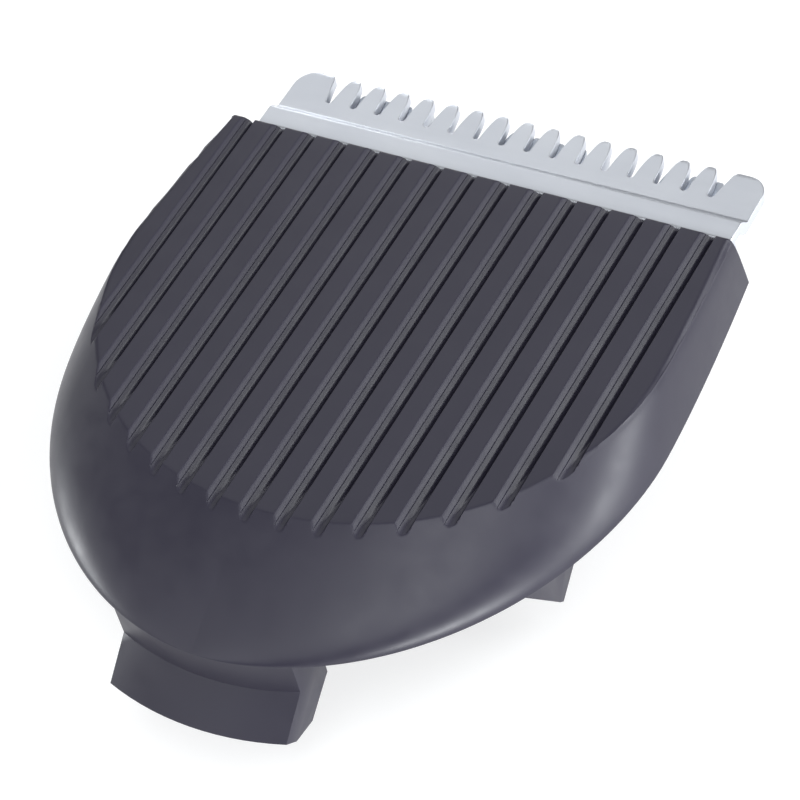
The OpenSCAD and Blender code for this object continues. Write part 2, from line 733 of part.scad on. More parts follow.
// Outline of one tooth on the root line y0.
module tooth(root_w, tip_w, y0, y1) {
    steps = 6;
    side = [for (i = [0:steps]) let (s = i / steps)
        [tooth_half(s, root_w / 2, tip_w / 2), y0 + (y1 - y0) * sin(90 * s)]];
    polygon(concat([[root_w / 2, y0 - tip_w]], side,
                   [for (i = [steps:-1:0]) [-side[i][0], side[i][1]]], [[-root_w / 2, y0 - tip_w]]));
}

// The toothed front of the guard, seen from above.
module guard_outline() {
    half = guard_w / 2;
    plate_in = (tooth_count * tooth_pitch + tooth_gap) / 2;
    translate([-half, y_step]) square([guard_w, y_roots - y_step]);
    for (i = [0:tooth_count - 1]) translate([(i - (tooth_count - 1) / 2) * tooth_pitch, 0])
        tooth(tooth_pitch - tooth_gap, tooth_tip_w, y_roots, y_tips);
    both_sides() polygon(concat(
        [[plate_in, y_roots - tooth_tip_w], [half, y_roots - tooth_tip_w]],
        [for (a = [0:15:90]) [half - corner_r * (1 - cos(a)), y_tips - corner_r * (1 - sin(a))]],
        [for (a = [90:-15:15]) [plate_in + plate_lean + plate_round * (1 - cos(a)),
                                y_tips - plate_round * (1 - sin(a))]]));
}

// Section of the guard behind its teeth: the step, the raised strip and the turned-down flange.
module guard_section() {
    z_flange = z_cutter + flange_clear;
    polygon([[y_step, z_plate], [y_strip, z_strip], [y_flange + flange_bend, z_strip],
             [y_flange, z_strip - flange_bend], [y_flange, z_flange],
             [y_flange + guard_t, z_flange], [y_flange + guard_t, z_strip - guard_t],
             [y_strip - step_lag, z_strip - guard_t], [y_step - step_lag, z_guard_under],
             [y_step, z_guard_under]]);
}

module guard_arm() {
    span([arm_x, y_flange, z_arm], [arm_x + arm_w, y_flange + guard_t, z_strip - guard_t]);
    span([arm_x, eye_ahead, z_arm], [arm_x + arm_w, y_flange + guard_t, z_guard_under]);
    at_eye() bar(eye_r, z_arm, z_guard_under);
}

module guard_blade() {
    color("#c8cbd2") difference() {
        union() {
            translate([0, 0, z_guard_under]) linear_extrude(guard_t) guard_outline();
            translate([-guard_w / 2, 0, 0]) rotate([90, 0, 90])
                linear_extrude(guard_w) guard_section();
            both_sides() guard_arm();
        }
        both_sides() at_eye() bar(screw_r + screw_clear, z_arm - cut, z_guard_under + cut);
    }
}

// A pan-head screw with a cross recess; its head's seat is at z and its shank goes up for
// direction 1 and down for -1.
module screw(z, length, direction) {
    translate([0, 0, z]) mirror([0, 0, direction > 0 ? 0 : 1]) difference() {
        union() {
            bar(screw_r, 0, length);
            rotate_extrude() polygon([[0, 0], [screw_head_r, 0], [screw_head_r, -screw_edge_h],
                                      [screw_flat_r, -screw_head_h], [0, -screw_head_h]]);
        }
        for (a = [0, 90]) rotate([0, 0, a]) translate([0, 0, -screw_head_h])
            cube([recess_length, recess_w, 2 * recess_depth], center = true);
    }
}

module blade_screws() {
    z_end = z_floor + post_floor_t + screw_end_gap;
    color("#9a9ca1") both_sides() at_eye() screw(z_guard_under, z_guard_under - z_end, -1);
}

module housing_screws() {
    color("#8e9095") at_screws() screw(z_tray, z_screw_end - z_tray, 1);
}

module upper_bush() {
    middle = (z_hub + z_floor + felt_t) / 2;
    color("#b08d57") union() {
        ring(bush_bore_r, bush_r, middle, z_floor);
        ring(bush_bore_r, bush_flange_r, z_floor, z_floor + bush_flange_t);
    }
}

module lower_bush() {
    middle = (z_hub + z_floor - felt_t) / 2;
    color("#b08d57") union() {
        ring(bush_bore_r, bush_r, z_hub, middle);
        ring(bush_bore_r, bush_flange_r, z_hub - bush_flange_t, z_hub);
    }
}

module felt_ring() {
    middle = (z_hub + z_floor) / 2;
    color("#d8d2c4") ring(bush_bore_r + shaft_fit, bush_r, middle - felt_t / 2, middle + felt_t / 2);
}

// A leaf spring in side view: a flat seat, then a tongue that rises to the carrier.
module leaf_spring() {
    rise = z_foot - leaf_gap - leaf_t - z_floor;
    steps = 8;
    tongue = [for (i = [0:steps]) let (s = i / steps)
        [leaf_start + leaf_seat + leaf_tongue * s,
         z_floor + rise * (1 - cos(leaf_sweep * s)) / (1 - cos(leaf_sweep))]];
    under = concat([[leaf_start, z_floor]], tongue);
    over = [for (i = [len(under) - 1:-1:0]) under[i] + [0, leaf_t]];
    color("#b9bcc2") difference() {
        translate([leaf_x - leaf_w / 2, 0, 0]) rotate([90, 0, 90])
            linear_extrude(leaf_w) polygon(concat(under, over));
        translate([leaf_x, leaf_start + leaf_seat / 2, 0])
            bar(stake_r + stake_fit, z_floor - cut, z_floor + cut);
    }
}

module left_leaf_spring() {
    mirror([1, 0, 0]) leaf_spring();
}

module right_leaf_spring() {
    leaf_spring();
}

// The shaft is round in its bushes and square where the coupling slides on it.
module drive_shaft() {
    half = square_w / 2;
    color("#a8abb0") difference() {
        union() {
            bar(shaft_r, z_ring, z_disc + disc_seat);
            intersection() {
                span([-half, -half, z_shaft_end], [half, half, z_ring + cut]);
                bar(shaft_r, z_shaft_end, z_ring + cut);
            }
        }
        ring(shaft_r - ring_seat, 2 * shaft_r, z_ring, z_ring_top);
        ring(clip_core_r, 2 * shaft_r, z_clip, z_clip + clip_t);
    }
}

// The disc carries the shaft below and the pin above, with a cut-out that balances the pin.
module eccentric_disc() {
    color("#e6e4de") difference() {
        bar(disc_r, z_disc, z_disc_top);
        bar(shaft_r, z_disc - cut, z_disc + disc_seat);
        translate([0, crank_throw, 0]) bar(pin_r, z_disc_top - disc_seat, z_disc_top + cut);
        for (a = [relief_angle, 180 - relief_angle]) rotate([0, 0, a])
            translate([relief_at, 0, 0]) bar(relief_r, z_disc - cut, z_disc_top + cut);
    }
}

module eccentric_pin() {
    color("#a8abb0") translate([0, crank_throw, 0]) {
        bar(pin_r, z_disc_top - disc_seat, z_roller_top + axial_gap);
        bar(pin_r + roller_fit + pin_head_over, z_roller_top + axial_gap, z_roller_top + axial_gap + pin_head_h);
    }
}

module pin_roller() {
    color("#e8e6e0") translate([0, crank_throw, 0])
        ring(pin_r + roller_fit, roller_r, z_roller, z_roller_top);
}

module thrust_washer() {
    color("#8f9196") ring(shaft_r + shaft_fit, washer_r, z_washer, z_disc);
}

module retaining_ring() {
    color("#6f7176") ring(shaft_r - ring_seat, ring_r, z_ring, z_ring_top, 70);
}

module coupling_clip() {
    color("#6f7176") ring(clip_core_r, clip_r, z_clip, z_clip + clip_t, 70);
}

// A helix of round wire between the coupling's web and the retaining ring.
module coupling_spring() {
    sides = 8;
    per_turn = 18;
    low = z_web_top + spring_wire_r;
    high = z_ring - spring_wire_r;
    count = spring_turns * per_turn;
    rings = [for (k = [0:count]) let (a = 360 * k / per_turn, z = low + (high - low) * k / count)
        [for (j = [0:sides - 1]) let (b = 360 * j / sides, r = spring_r + spring_wire_r * cos(b))
            [r * cos(a), r * sin(a), z + spring_wire_r * sin(b)]]];
    points = [for (r = rings) for (q = r) q];
    skin = [for (k = [0:count - 1]) for (j = [0:sides - 1])
        let (m = (j + 1) % sides)
        each [[k * sides + j, k * sides + m, (k + 1) * sides + m],
              [k * sides + j, (k + 1) * sides + m, (k + 1) * sides + j]]];
    start = [for (j = [sides - 1:-1:0]) j];
    finish = [for (j = [0:sides - 1]) count * sides + j];
    color("#b9bcc2") polyhedron(points, concat(skin, [start, finish]), convexity = 8);
}

module drive_coupling() {
    hole = square_w / 2 + square_fit;
    color("#57565d") difference() {
        bar(coupling_r, z_mouth, z_coupling_top);
        bar(socket_r, z_mouth - cut, z_socket);
        for (a = [0, 180]) rotate([0, 0, a])
            span([0, -slot_w / 2, z_mouth - cut], [socket_r + slot_depth, slot_w / 2, z_socket]);
        bar(clip_pocket_r, z_socket - cut, z_web);
        span([-hole, -hole, z_web - cut], [hole, hole, z_web_top + cut]);
        bar(spring_seat_r, z_web_top, z_coupling_top + cut);
    }
}

module moving_cutter() {
    wide = (cutter_teeth - 1) * cutter_pitch / 2 + (cutter_pitch - cutter_gap) / 2;
    y_shoulder = y_flange + guard_t + shoulder_gap;
    color("#aeb3bb") difference() {
        translate([0, 0, z_foot_top]) linear_extrude(cutter_t) {
            translate([-cutter_half_w, y_cutter_rear])
                square([2 * cutter_half_w, y_cutter_roots - y_cutter_rear]);
            translate([-wide, y_shoulder]) square([2 * wide, y_cutter_roots - y_shoulder]);
            for (i = [0:cutter_teeth - 1])
                translate([(i - (cutter_teeth - 1) / 2) * cutter_pitch, 0])
                    tooth(cutter_pitch - cutter_gap, cutter_tip_w, y_cutter_roots, y_cutter_tips);
        }
        at_rivets() bar(rivet_r, z_foot, z_cutter + cut);
    }
}

// The cutter's rivets stand in one row on the carrier's foot.
module at_rivets() {
    for (i = [0:rivet_count - 1])
        translate([(i - (rivet_count - 1) / 2) * rivet_pitch, y_cutter_rear + rivet_ahead, 0]) children();
}

module cutter_rivets() {
    color("#c3c5ca") at_rivets() {
        bar(rivet_r, z_foot_top - rivet_depth, z_cutter);
        bar(rivet_head_r, z_cutter, z_cutter + rivet_head_h);
    }
}

// The carrier: a foot under the cutter, a bridge behind it and a fork round the roller.
module cutter_carrier() {
    color("#dcdad3") difference() {
        union() {
            span([-cutter_half_w, y_foot_rear, z_foot], [cutter_half_w, y_foot_front, z_foot_top]);
            span([-fork_half_w, y_foot_rear, z_foot], [fork_half_w, y_cutter_rear, z_fork_top]);
            span([-fork_half_w, -fork_back, z_fork], [fork_half_w, y_cutter_rear, z_fork_top]);
        }
        span([-fork_slot_half, -fork_back - cut, z_fork - cut],
             [fork_slot_half, fork_slot_end - fork_slot_half, z_fork_top + cut]);
        translate([0, fork_slot_end - fork_slot_half, 0]) bar(fork_slot_half, z_fork - cut, z_fork_top + cut);
        span([-cutter_half_w - cut, rail_y - rail_w / 2 - rail_fit, z_foot - cut],
             [cutter_half_w + cut, rail_y + rail_w / 2 + rail_fit, z_foot + rail_h + rail_fit]);
        at_rivets() bar(rivet_r, z_foot_top - rivet_depth, z_foot_top + cut);
    }
}

top_housing();
base_housing();
coupling_collar();
guard_blade();
blade_screws();
housing_screws();
upper_bush();
lower_bush();
felt_ring();
left_leaf_spring();
right_leaf_spring();
drive_shaft();
eccentric_disc();
eccentric_pin();
pin_roller();
thrust_washer();
retaining_ring();
coupling_clip();
coupling_spring();
drive_coupling();
moving_cutter();
cutter_carrier();
cutter_rivets();
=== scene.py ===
import json
import math

import bpy
import numpy as np
from mathutils import Matrix, Vector


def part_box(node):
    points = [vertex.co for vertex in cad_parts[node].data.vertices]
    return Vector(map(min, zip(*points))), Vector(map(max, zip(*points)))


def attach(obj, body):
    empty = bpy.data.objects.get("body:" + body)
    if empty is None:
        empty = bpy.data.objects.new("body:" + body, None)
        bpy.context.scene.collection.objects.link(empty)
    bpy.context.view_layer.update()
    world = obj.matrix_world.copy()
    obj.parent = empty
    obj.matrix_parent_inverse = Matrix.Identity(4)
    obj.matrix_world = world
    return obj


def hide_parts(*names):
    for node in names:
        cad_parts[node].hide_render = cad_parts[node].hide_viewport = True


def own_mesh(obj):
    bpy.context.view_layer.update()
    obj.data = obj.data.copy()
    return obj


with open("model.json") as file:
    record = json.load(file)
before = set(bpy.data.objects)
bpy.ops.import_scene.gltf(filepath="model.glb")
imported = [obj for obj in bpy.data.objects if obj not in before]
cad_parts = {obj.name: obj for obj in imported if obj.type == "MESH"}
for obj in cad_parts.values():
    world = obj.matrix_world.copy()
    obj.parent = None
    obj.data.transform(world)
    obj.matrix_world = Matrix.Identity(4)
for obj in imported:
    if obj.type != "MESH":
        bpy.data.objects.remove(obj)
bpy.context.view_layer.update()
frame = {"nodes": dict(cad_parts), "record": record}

MM = 0.001

# ---------------------------------------------------------------- sizes of the head, in mm
# Levels above the foot of the collar: the ribbed face, the rim, the roof of the cap's room and the top of its
# upright wall. Then the cap's front.
Z_FACE = 13.0
Z_RIM = 9.48
Z_ROOF = 11.6
Z_TONGUE = 10.28
Y_FRONT = 15.75
# Half outlines of the ribbed face and the rim: half width at the front, widest half width, the way back to
# it, length and the power of the rear. SIDE_BOW bows the sides.
FACE = (17.1, 17.72, 10.5, 27.25, 2.06)
RIM = (17.8, 18.98, 14.15, 35.3, 1.92)
SIDE_BOW = 1.5
# The dome: its curved share, where it turns down in the rear corners, and how fast that fades. Then the wall.
DOME_BULGE = 0.25
DOME_BEND = 0.5
CORNER_FADE = 1.2
CAP_WALL = 1.4
# The grooves. A section runs from the long bevelled side over the scored line to the steep side, as places
# across it and heights. Because the bevel reaches further, the next groove takes over GROOVE_SHIFT early, and
# the columns of the middle grid go on for GROOVE_MARGIN beyond the outermost bevel.
RIB_PITCH = 2.25
GROOVES = 15
GROOVE_PLACES = (-1.62, -0.62, -0.335, -0.31, -0.285, -0.08, -0.01, 0.05, 0.09, 0.41, 1.41)
GROOVE_HEIGHTS = (0.61, 0.0, -0.17, -0.22, -0.2, -0.32, -0.40, -0.50, -0.60, 0.0, 2.0)
GROOVE_SHIFT = 0.1
GROOVE_MARGIN = 0.12
GROOVE_DEPTH = 0.58
GROOVE_END_DEPTH = 0.30
# Roundings, as radii and as reaches of smooth_min.
CREASE_R = 0.5
GROOVE_EDGE_BLEND = 0.03
GROOVE_FLOOR_BLEND = 0.08
FRONT_EDGE_R = 0.22
FRONT_EDGE_BLEND = 0.02
# Under the cap: a plate over the blades and the web that holds it, as half width, rear, front, foot, top and
# edge radius, and the screw bosses. The web and the bosses reach ROOF_BITE into the roof.
ROOF_BITE = 0.2
APRON = (16.2, 14.75, 16.65, 10.6, 11.0, 0.08)
APRON_WEB = (15.6, 14.75, 15.5, 10.9, Z_ROOF + ROOF_BITE, 0.02)
SCREWS = ((12.4, 1.7), (-12.4, 1.7), (5.5, -10.89), (-5.5, -10.89))
BOSS_BORE_R = 0.92
BOSS_R = 2.0
BOSS_EDGE = 0.08
Z_BOSS = 7.2
# The guard blade: levels, thickness, places from the flange forward, and teeth. FLANGE_MIDS and STRIP_MIDS
# are points about halfway along those parts of its outer and inner face.
Z_STRIP = 11.32
Z_PLATE = 10.67
Z_FLANGE = 10.15
GUARD_T = 0.65
GUARD_HALF = 16.3
GUARD_EDGE = 0.06
BEND_R = 0.26
BEND_INNER_R = 0.06
Y_FLANGE = 16.83
FLANGE_MIDS = (10.6, 10.35)
STRIP_MIDS = (17.6, 17.75)
Y_STRIP = 18.4
Y_STEP = 19.3
STEP_SETBACK = 0.45
Y_PLATE = 19.95
Y_ROOTS = 20.39
Y_TIPS = 22.77
TEETH = 15
TOOTH_PITCH = 1.77
TOOTH_GAP = 0.4
TOOTH_TIP_W = 0.22
TOOTH_SHAPE = 1.7
TIP_FALL = 0.1
TIP_FALL_RUN = 0.35
CORNER_R = 1.5
CORNER_INNER_R = 0.3
CORNER_LEAN = 0.48
CORNER_LEAN_END = 0.86
# The guard's screw arms: outlines, levels and edge radii of the web and the bar, and the eye.
ARM_WEB = ((13.7, 16.86), (15.2, 16.86), (15.2, 17.45), (13.7, 17.45))
ARM_BAR = ((13.7, 8.4), (15.2, 7.4), (15.2, 17.45), (13.7, 17.45))
WEB_LEVELS = (9.42, 10.66)
WEB_EDGE = 0.03
ARM_LEVELS = (9.37, 10.02)
ARM_EDGE = 0.04
EYE_AT = (13.2, 6.5)
EYE_BORE_R = 0.94
EYE_R = 2.0
# The tray's rounded edges, and the coupling's spring.
TRAY_EDGE = 0.18
SPRING_R = 1.55
SPRING_WIRE_R = 0.13
SPRING_TURNS = 3

# ---------------------------------------------------------------- camera
# A long lens from behind and right of the head, looking down on the ribs; the sensor and focal length in mm.
VIEW_RIGHT = Vector((0.8652, 0.4677, -0.1809))
VIEW_UP = Vector((-0.2512, 0.7164, 0.6509))
CAMERA_AT = Vector((82.13, -94.39, 144.99)) * MM
SENSOR = 36.0
FOCAL = 142.53


def add_camera():
    """Stand the camera at CAMERA_AT, with its axes along VIEW_RIGHT and VIEW_UP."""
    right = VIEW_RIGHT.normalized()
    up = (VIEW_UP - right * VIEW_UP.dot(right)).normalized()
    data = bpy.data.cameras.new("camera")
    data.lens = FOCAL
    data.sensor_width = SENSOR
    data.clip_start, data.clip_end = 0.01, 10.0
    camera = bpy.data.objects.new("camera", data)
    turn = Matrix((right, up, right.cross(up))).transposed().to_4x4()
    camera.matrix_world = Matrix.Translation(CAMERA_AT) @ turn
    bpy.context.scene.collection.objects.link(camera)
    bpy.context.scene.camera = camera


add_camera()


# ---------------------------------------------------------------- materials
def linear(hex_colour):
    """sRGB hex text to a linear RGBA tuple."""
    parts = [int(hex_colour[i:i + 2], 16) / 255 for i in (1, 3, 5)]
    return tuple(c / 12.92 if c <= 0.04045 else ((c + 0.055) / 1.055) ** 2.4 for c in parts) + (1.0,)


class Finish:
    """A material with one Principled shader, and a short way to add nodes to it."""

    def __init__(self, name, **sockets):
        self.material = bpy.data.materials.new(name)
        self.material.use_nodes = True
        self.tree = self.material.node_tree
        self.shader = self.tree.nodes["Principled BSDF"]
        self.fill(self.shader, {socket.replace("_", " "): value for socket, value in sockets.items()})
        self.place = self.node("ShaderNodeTexCoord").outputs["Object"]

    def node(self, kind, inputs=None, **settings):
        """Add a node with its settings and links."""
        made = self.tree.nodes.new(kind)
        for key, value in settings.items():
            setattr(made, key, value)
        self.fill(made, inputs or {})
        return made

    def fill(self, node, inputs):
        """Each input is another node's output, the sRGB hex text of a colour, or a plain value."""
        for key, value in inputs.items():
            if isinstance(value, bpy.types.NodeSocket):
                self.tree.links.new(value, node.inputs[key])
            else:
                node.inputs[key].default_value = linear(value) if isinstance(value, str) else value


def per_metre(*sizes):
    """Mapping scale of a pattern whose features have these sizes in millimetres along X, Y and Z."""
    return tuple(1 / (size * MM) for size in sizes)


# The middle share of a noise, which is stretched over a colour's or a gloss's whole range.
NOISE_LOW = 0.3
NOISE_HIGH = 0.7
# Moulded plastic, in mm: clouds of colour, patches of gloss, and the grain's width and depth. A real
# spark-eroded grain is about half as wide, and is drawn coarser here so that it shows at all.
FLOW_CLOUD = 6.0
GLOSS_PATCH = 1.5
GRAIN = 0.09
GRAIN_DEPTH = 0.0015
# Steel: clouds of colour in mm, and the roughness of its blanked edges. A face is part edge, part ground
# where the upright share of its normal lies between the two limits. The edge's lighter colour there is painted
# light that lifts the shade on upright faces. Real scratches are a few times finer than those below, and are
# drawn coarser here so that their sheen shows.
STEEL_CLOUD = 5.0
EDGE_ROUGHNESS = 0.5
EDGE_LIMITS = (0.15, 0.4)
# Felt: a fibre's length and width and the nap's depth, in mm.
FIBRE = (0.25, 0.08, 0.08)
NAP_DEPTH = 0.05


def moulded(name, dark, light, roughness=(0.36, 0.44)):
    """Injection-moulded plastic from a spark-eroded mould.

    Flow and cooling leave the colour and the gloss a little cloudy, and a fine even grain softens each
    highlight, so the eye sees a quiet satin.
    """
    f = Finish(name)
    cloud = f.node("ShaderNodeTexNoise", {"Vector": f.place, "Scale": 1 / (FLOW_CLOUD * MM), "Detail": 3.0})
    share = f.node("ShaderNodeMapRange", {"Value": cloud.outputs["Fac"], "From Min": NOISE_LOW,
                                          "From Max": NOISE_HIGH})
    colour = f.node("ShaderNodeMix", {"Factor": share.outputs["Result"], "A": dark, "B": light},
                    data_type="RGBA")
    patch = f.node("ShaderNodeTexNoise", {"Vector": f.place, "Scale": 1 / (GLOSS_PATCH * MM), "Detail": 4.0})
    gloss = f.node("ShaderNodeMapRange", {"Value": patch.outputs["Fac"], "From Min": NOISE_LOW,
                                          "From Max": NOISE_HIGH, "To Min": roughness[0],
                                          "To Max": roughness[1]})
    grain = f.node("ShaderNodeTexNoise", {"Vector": f.place, "Scale": 1 / (GRAIN * MM), "Detail": 3.0,
                                          "Roughness": 0.6})
    relief = f.node("ShaderNodeBump", {"Height": grain.outputs["Fac"], "Distance": GRAIN_DEPTH * MM})
    f.fill(f.shader, {"Base Color": colour.outputs["Result"], "Roughness": gloss.outputs["Result"],
                      "Normal": relief.outputs["Normal"]})
    return f.material


def ground_metal(name, dark, light, roughness=(0.3, 0.4), grind=(3.0, 0.05, 0.05), depth=0.0005, edge=None):
    """Metal with the scratches of its grinding, rolling or turning; grind is their size in mm along X, Y, Z.

    The scratches vary the gloss, so the eye sees a soft sheen drawn along them. Blanked edges are torn
    rather than ground, so the upright faces of a stamping are duller. They also take a lighter edge colour,
    which is painted light that lifts the shade falling on them.
    """
    f = Finish(name, Metallic=1.0)
    along = f.node("ShaderNodeMapping", {"Vector": f.place, "Scale": per_metre(*grind)})
    scratch = f.node("ShaderNodeTexNoise", {"Vector": along.outputs["Vector"], "Scale": 1.0, "Detail": 4.0,
                                            "Roughness": 0.65})
    cloud = f.node("ShaderNodeTexNoise", {"Vector": f.place, "Scale": 1 / (STEEL_CLOUD * MM), "Detail": 2.0})
    share = f.node("ShaderNodeMapRange", {"Value": cloud.outputs["Fac"], "From Min": NOISE_LOW,
                                          "From Max": NOISE_HIGH})
    colour = f.node("ShaderNodeMix", {"Factor": share.outputs["Result"], "A": dark, "B": light},
                    data_type="RGBA")
    gloss = f.node("ShaderNodeMapRange", {"Value": scratch.outputs["Fac"], "From Min": NOISE_LOW,
                                          "From Max": NOISE_HIGH, "To Min": roughness[0],
                                          "To Max": roughness[1]})
    if edge:
        facing = f.node("ShaderNodeSeparateXYZ", {0: f.node("ShaderNodeNewGeometry").outputs["Normal"]})
        level = f.node("ShaderNodeMath", {0: facing.outputs["Z"]}, operation="ABSOLUTE")
        upright = f.node("ShaderNodeMapRange", {"Value": level.outputs[0], "From Min": EDGE_LIMITS[0],
                                                "From Max": EDGE_LIMITS[1], "To Min": 1.0, "To Max": 0.0})
        # Upright faces take the edge colour, which is painted light that lifts their shade. Their duller gloss
        # is real.
        colour = f.node("ShaderNodeMix", {"Factor": upright.outputs["Result"], "A": colour.outputs["Result"],
                                          "B": edge}, data_type="RGBA")
        gloss = f.node("ShaderNodeMix", {"Factor": upright.outputs["Result"], "A": gloss.outputs["Result"],
                                         "B": EDGE_ROUGHNESS})
    relief = f.node("ShaderNodeBump", {"Height": scratch.outputs["Fac"], "Distance": depth * MM})
    f.fill(f.shader, {"Base Color": colour.outputs["Result"], "Roughness": gloss.outputs["Result"],
                      "Normal": relief.outputs["Normal"]})
    return f.material


def felt(name, dark, light):
    """Pressed wool felt soaked in oil: matted fibres, which the eye sees as a dull warm nap."""
    f = Finish(name, Roughness=0.95)
    along = f.node("ShaderNodeMapping", {"Vector": f.place, "Scale": per_metre(*FIBRE)})
    fibre = f.node("ShaderNodeTexNoise", {"Vector": along.outputs["Vector"], "Scale": 1.0, "Detail": 6.0,
                                          "Roughness": 0.75})
    share = f.node("ShaderNodeMapRange", {"Value": fibre.outputs["Fac"], "From Min": NOISE_LOW,
                                          "From Max": NOISE_HIGH})
    colour = f.node("ShaderNodeMix", {"Factor": share.outputs["Result"], "A": dark, "B": light},
                    data_type="RGBA")
    relief = f.node("ShaderNodeBump", {"Height": fibre.outputs["Fac"], "Distance": NAP_DEPTH * MM})
    f.fill(f.shader, {"Base Color": colour.outputs["Result"], "Normal": relief.outputs["Normal"]})
    return f.material


FINISHES = {
    # Near-black plastics with a violet cast: the cap and tray, the collar, and the wearing coupling.
    "housing_plastic": moulded("satin moulded ABS, housing", "#252330", "#282633"),
    "collar_plastic": moulded("satin moulded ABS, collar", "#25242d", "#292831"),
    "coupling_plastic": moulded("black moulded acetal, coupling", "#1b1a1d", "#222125"),
    # Pale stainless steel: the guard is ground along its width, the cutter along its teeth. Their lighter edge
    # colours on upright faces are painted light that lifts the shade there.
    "guard_steel": ground_metal("ground stainless steel, guard", "#d0d3da", "#d6d9df", edge="#d8dbe2"),
    "cutter_steel": ground_metal("ground stainless steel, cutter", "#b3b7bf", "#bec2c9",
                                 grind=(0.05, 2.0, 0.05), edge="#d2d6dc"),
    # Greyer steels of the fasteners, springs and shafts, from dull plating to a turned and polished shine.
    "screw_steel": ground_metal("nickel-plated screw steel", "#a9abb0", "#b8babf", grind=(0.3, 0.3, 0.3)),
    "spring_steel": ground_metal("rolled spring steel", "#9b9da2", "#a8aaaf", grind=(0.2, 2.0, 0.2)),
    "shaft_steel": ground_metal("polished shaft steel", "#bfc1c5", "#cbcdd1", roughness=(0.15, 0.25)),
    # Pressed bronze powder: dull, brown and finely pitted.
    "bush_bronze": ground_metal("sintered bronze", "#a9824d", "#b58e58", roughness=(0.4, 0.55),
                                grind=(0.1, 0.1, 0.1), depth=0.006),
    "oil_felt": felt("oiled wool felt", "#b9b09b", "#d2cab6"),
    # Undyed milky plastic, a little glossier than the housing.
    "drive_plastic": moulded("natural moulded acetal, drive", "#d6d4cc", "#dedcd5", roughness=(0.3, 0.4)),
    "carrier_plastic": moulded("natural moulded acetal, carrier", "#d1cfc7", "#d9d7cf", roughness=(0.3, 0.4)),
}
SLOT_OF = {part["node"]: part["material_slot"] for part in frame["record"]["subparts"]}


def dress_nodes():
    """Every CAD node takes the finish of its material slot."""
    for name, node in frame["nodes"].items():
        node.data.materials.clear()
        node.data.materials.append(FINISHES[SLOT_OF[name]])


dress_nodes()


# ---------------------------------------------------------------- meshes
# Joins steeper than this are shaded as edges, and round tubes have this many sides.
SHARP_EDGE = math.radians(32)
ROUND_STEPS = 48


def welded(points, faces, size=1e-4):
    """Join points in the same cell of size, and drop the corners that this doubles.

    Faces are rows of four indices.
    """
    keys = np.round(points / size).astype(np.int64)
    _, first, inverse = np.unique(keys, axis=0, return_index=True, return_inverse=True)
    inverse = inverse.reshape(-1)
    faces = inverse[faces]
    keep = faces != np.roll(faces, 1, axis=1)
    count = keep.sum(axis=1)
    good = count >= 3
    return points[first], faces[good][keep[good]], count[good], inverse


def shell_mesh(name, shell):
    """A mesh in metres from a Shell's points, quads and many-sided faces."""
    quads = np.concatenate(shell.quads) if shell.quads else np.zeros((0, 4), int)
    points, loops, counts, inverse = welded(np.concatenate(shell.points), quads)
    for face in shell.wide:
        loops = np.concatenate([loops, inverse[face]])
        counts = np.append(counts, len(face))
    mesh = bpy.data.meshes.new(name)
    mesh.vertices.add(len(points))
    mesh.vertices.foreach_set("co", (points * MM).ravel())
    mesh.loops.add(len(loops))
    mesh.loops.foreach_set("vertex_index", loops)
    mesh.polygons.add(len(counts))
    mesh.polygons.foreach_set("loop_start", np.concatenate([[0], np.cumsum(counts)[:-1]]))
    mesh.update(calc_edges=True)
    mesh.validate()
    return mesh


def add_piece(name, mesh, slot, body, nodes=()):
    """A smooth-shaded piece in the finish of its slot, which rides on a body and may replace nodes."""
    mesh.polygons.foreach_set("use_smooth", np.ones(len(mesh.polygons), bool))
    mesh.set_sharp_from_angle(angle=SHARP_EDGE)
    mesh.materials.clear()
    mesh.materials.append(FINISHES[slot])
    piece = bpy.data.objects.new(name, mesh)
    bpy.context.scene.collection.objects.link(piece)
    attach(piece, body)
    if nodes:
        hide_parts(*nodes)
    return piece


def grid_faces(index, flip=False):
    """Quads between the neighbours of a grid of point numbers."""
    quads = np.stack([index[:-1, :-1], index[:-1, 1:], index[1:, 1:], index[1:, :-1]], axis=-1).reshape(-1, 4)
    return quads[:, ::-1] if flip else quads


def ring_faces(rows, columns, flip=False):
    """Quads of a grid of points, stored row by row, whose last column joins its first."""
    index = np.arange(rows * columns).reshape(rows, columns)
    return grid_faces(np.column_stack([index, index[:, :1]]), flip)


def smooth_min(a, b, reach):
    """The lower of a and b, less (reach - gap) squared / 4 reach where their gap is smaller than reach."""
    gap = np.clip(reach - np.abs(a - b), 0, None)
    return np.minimum(a, b) - gap ** 2 / (4 * reach)


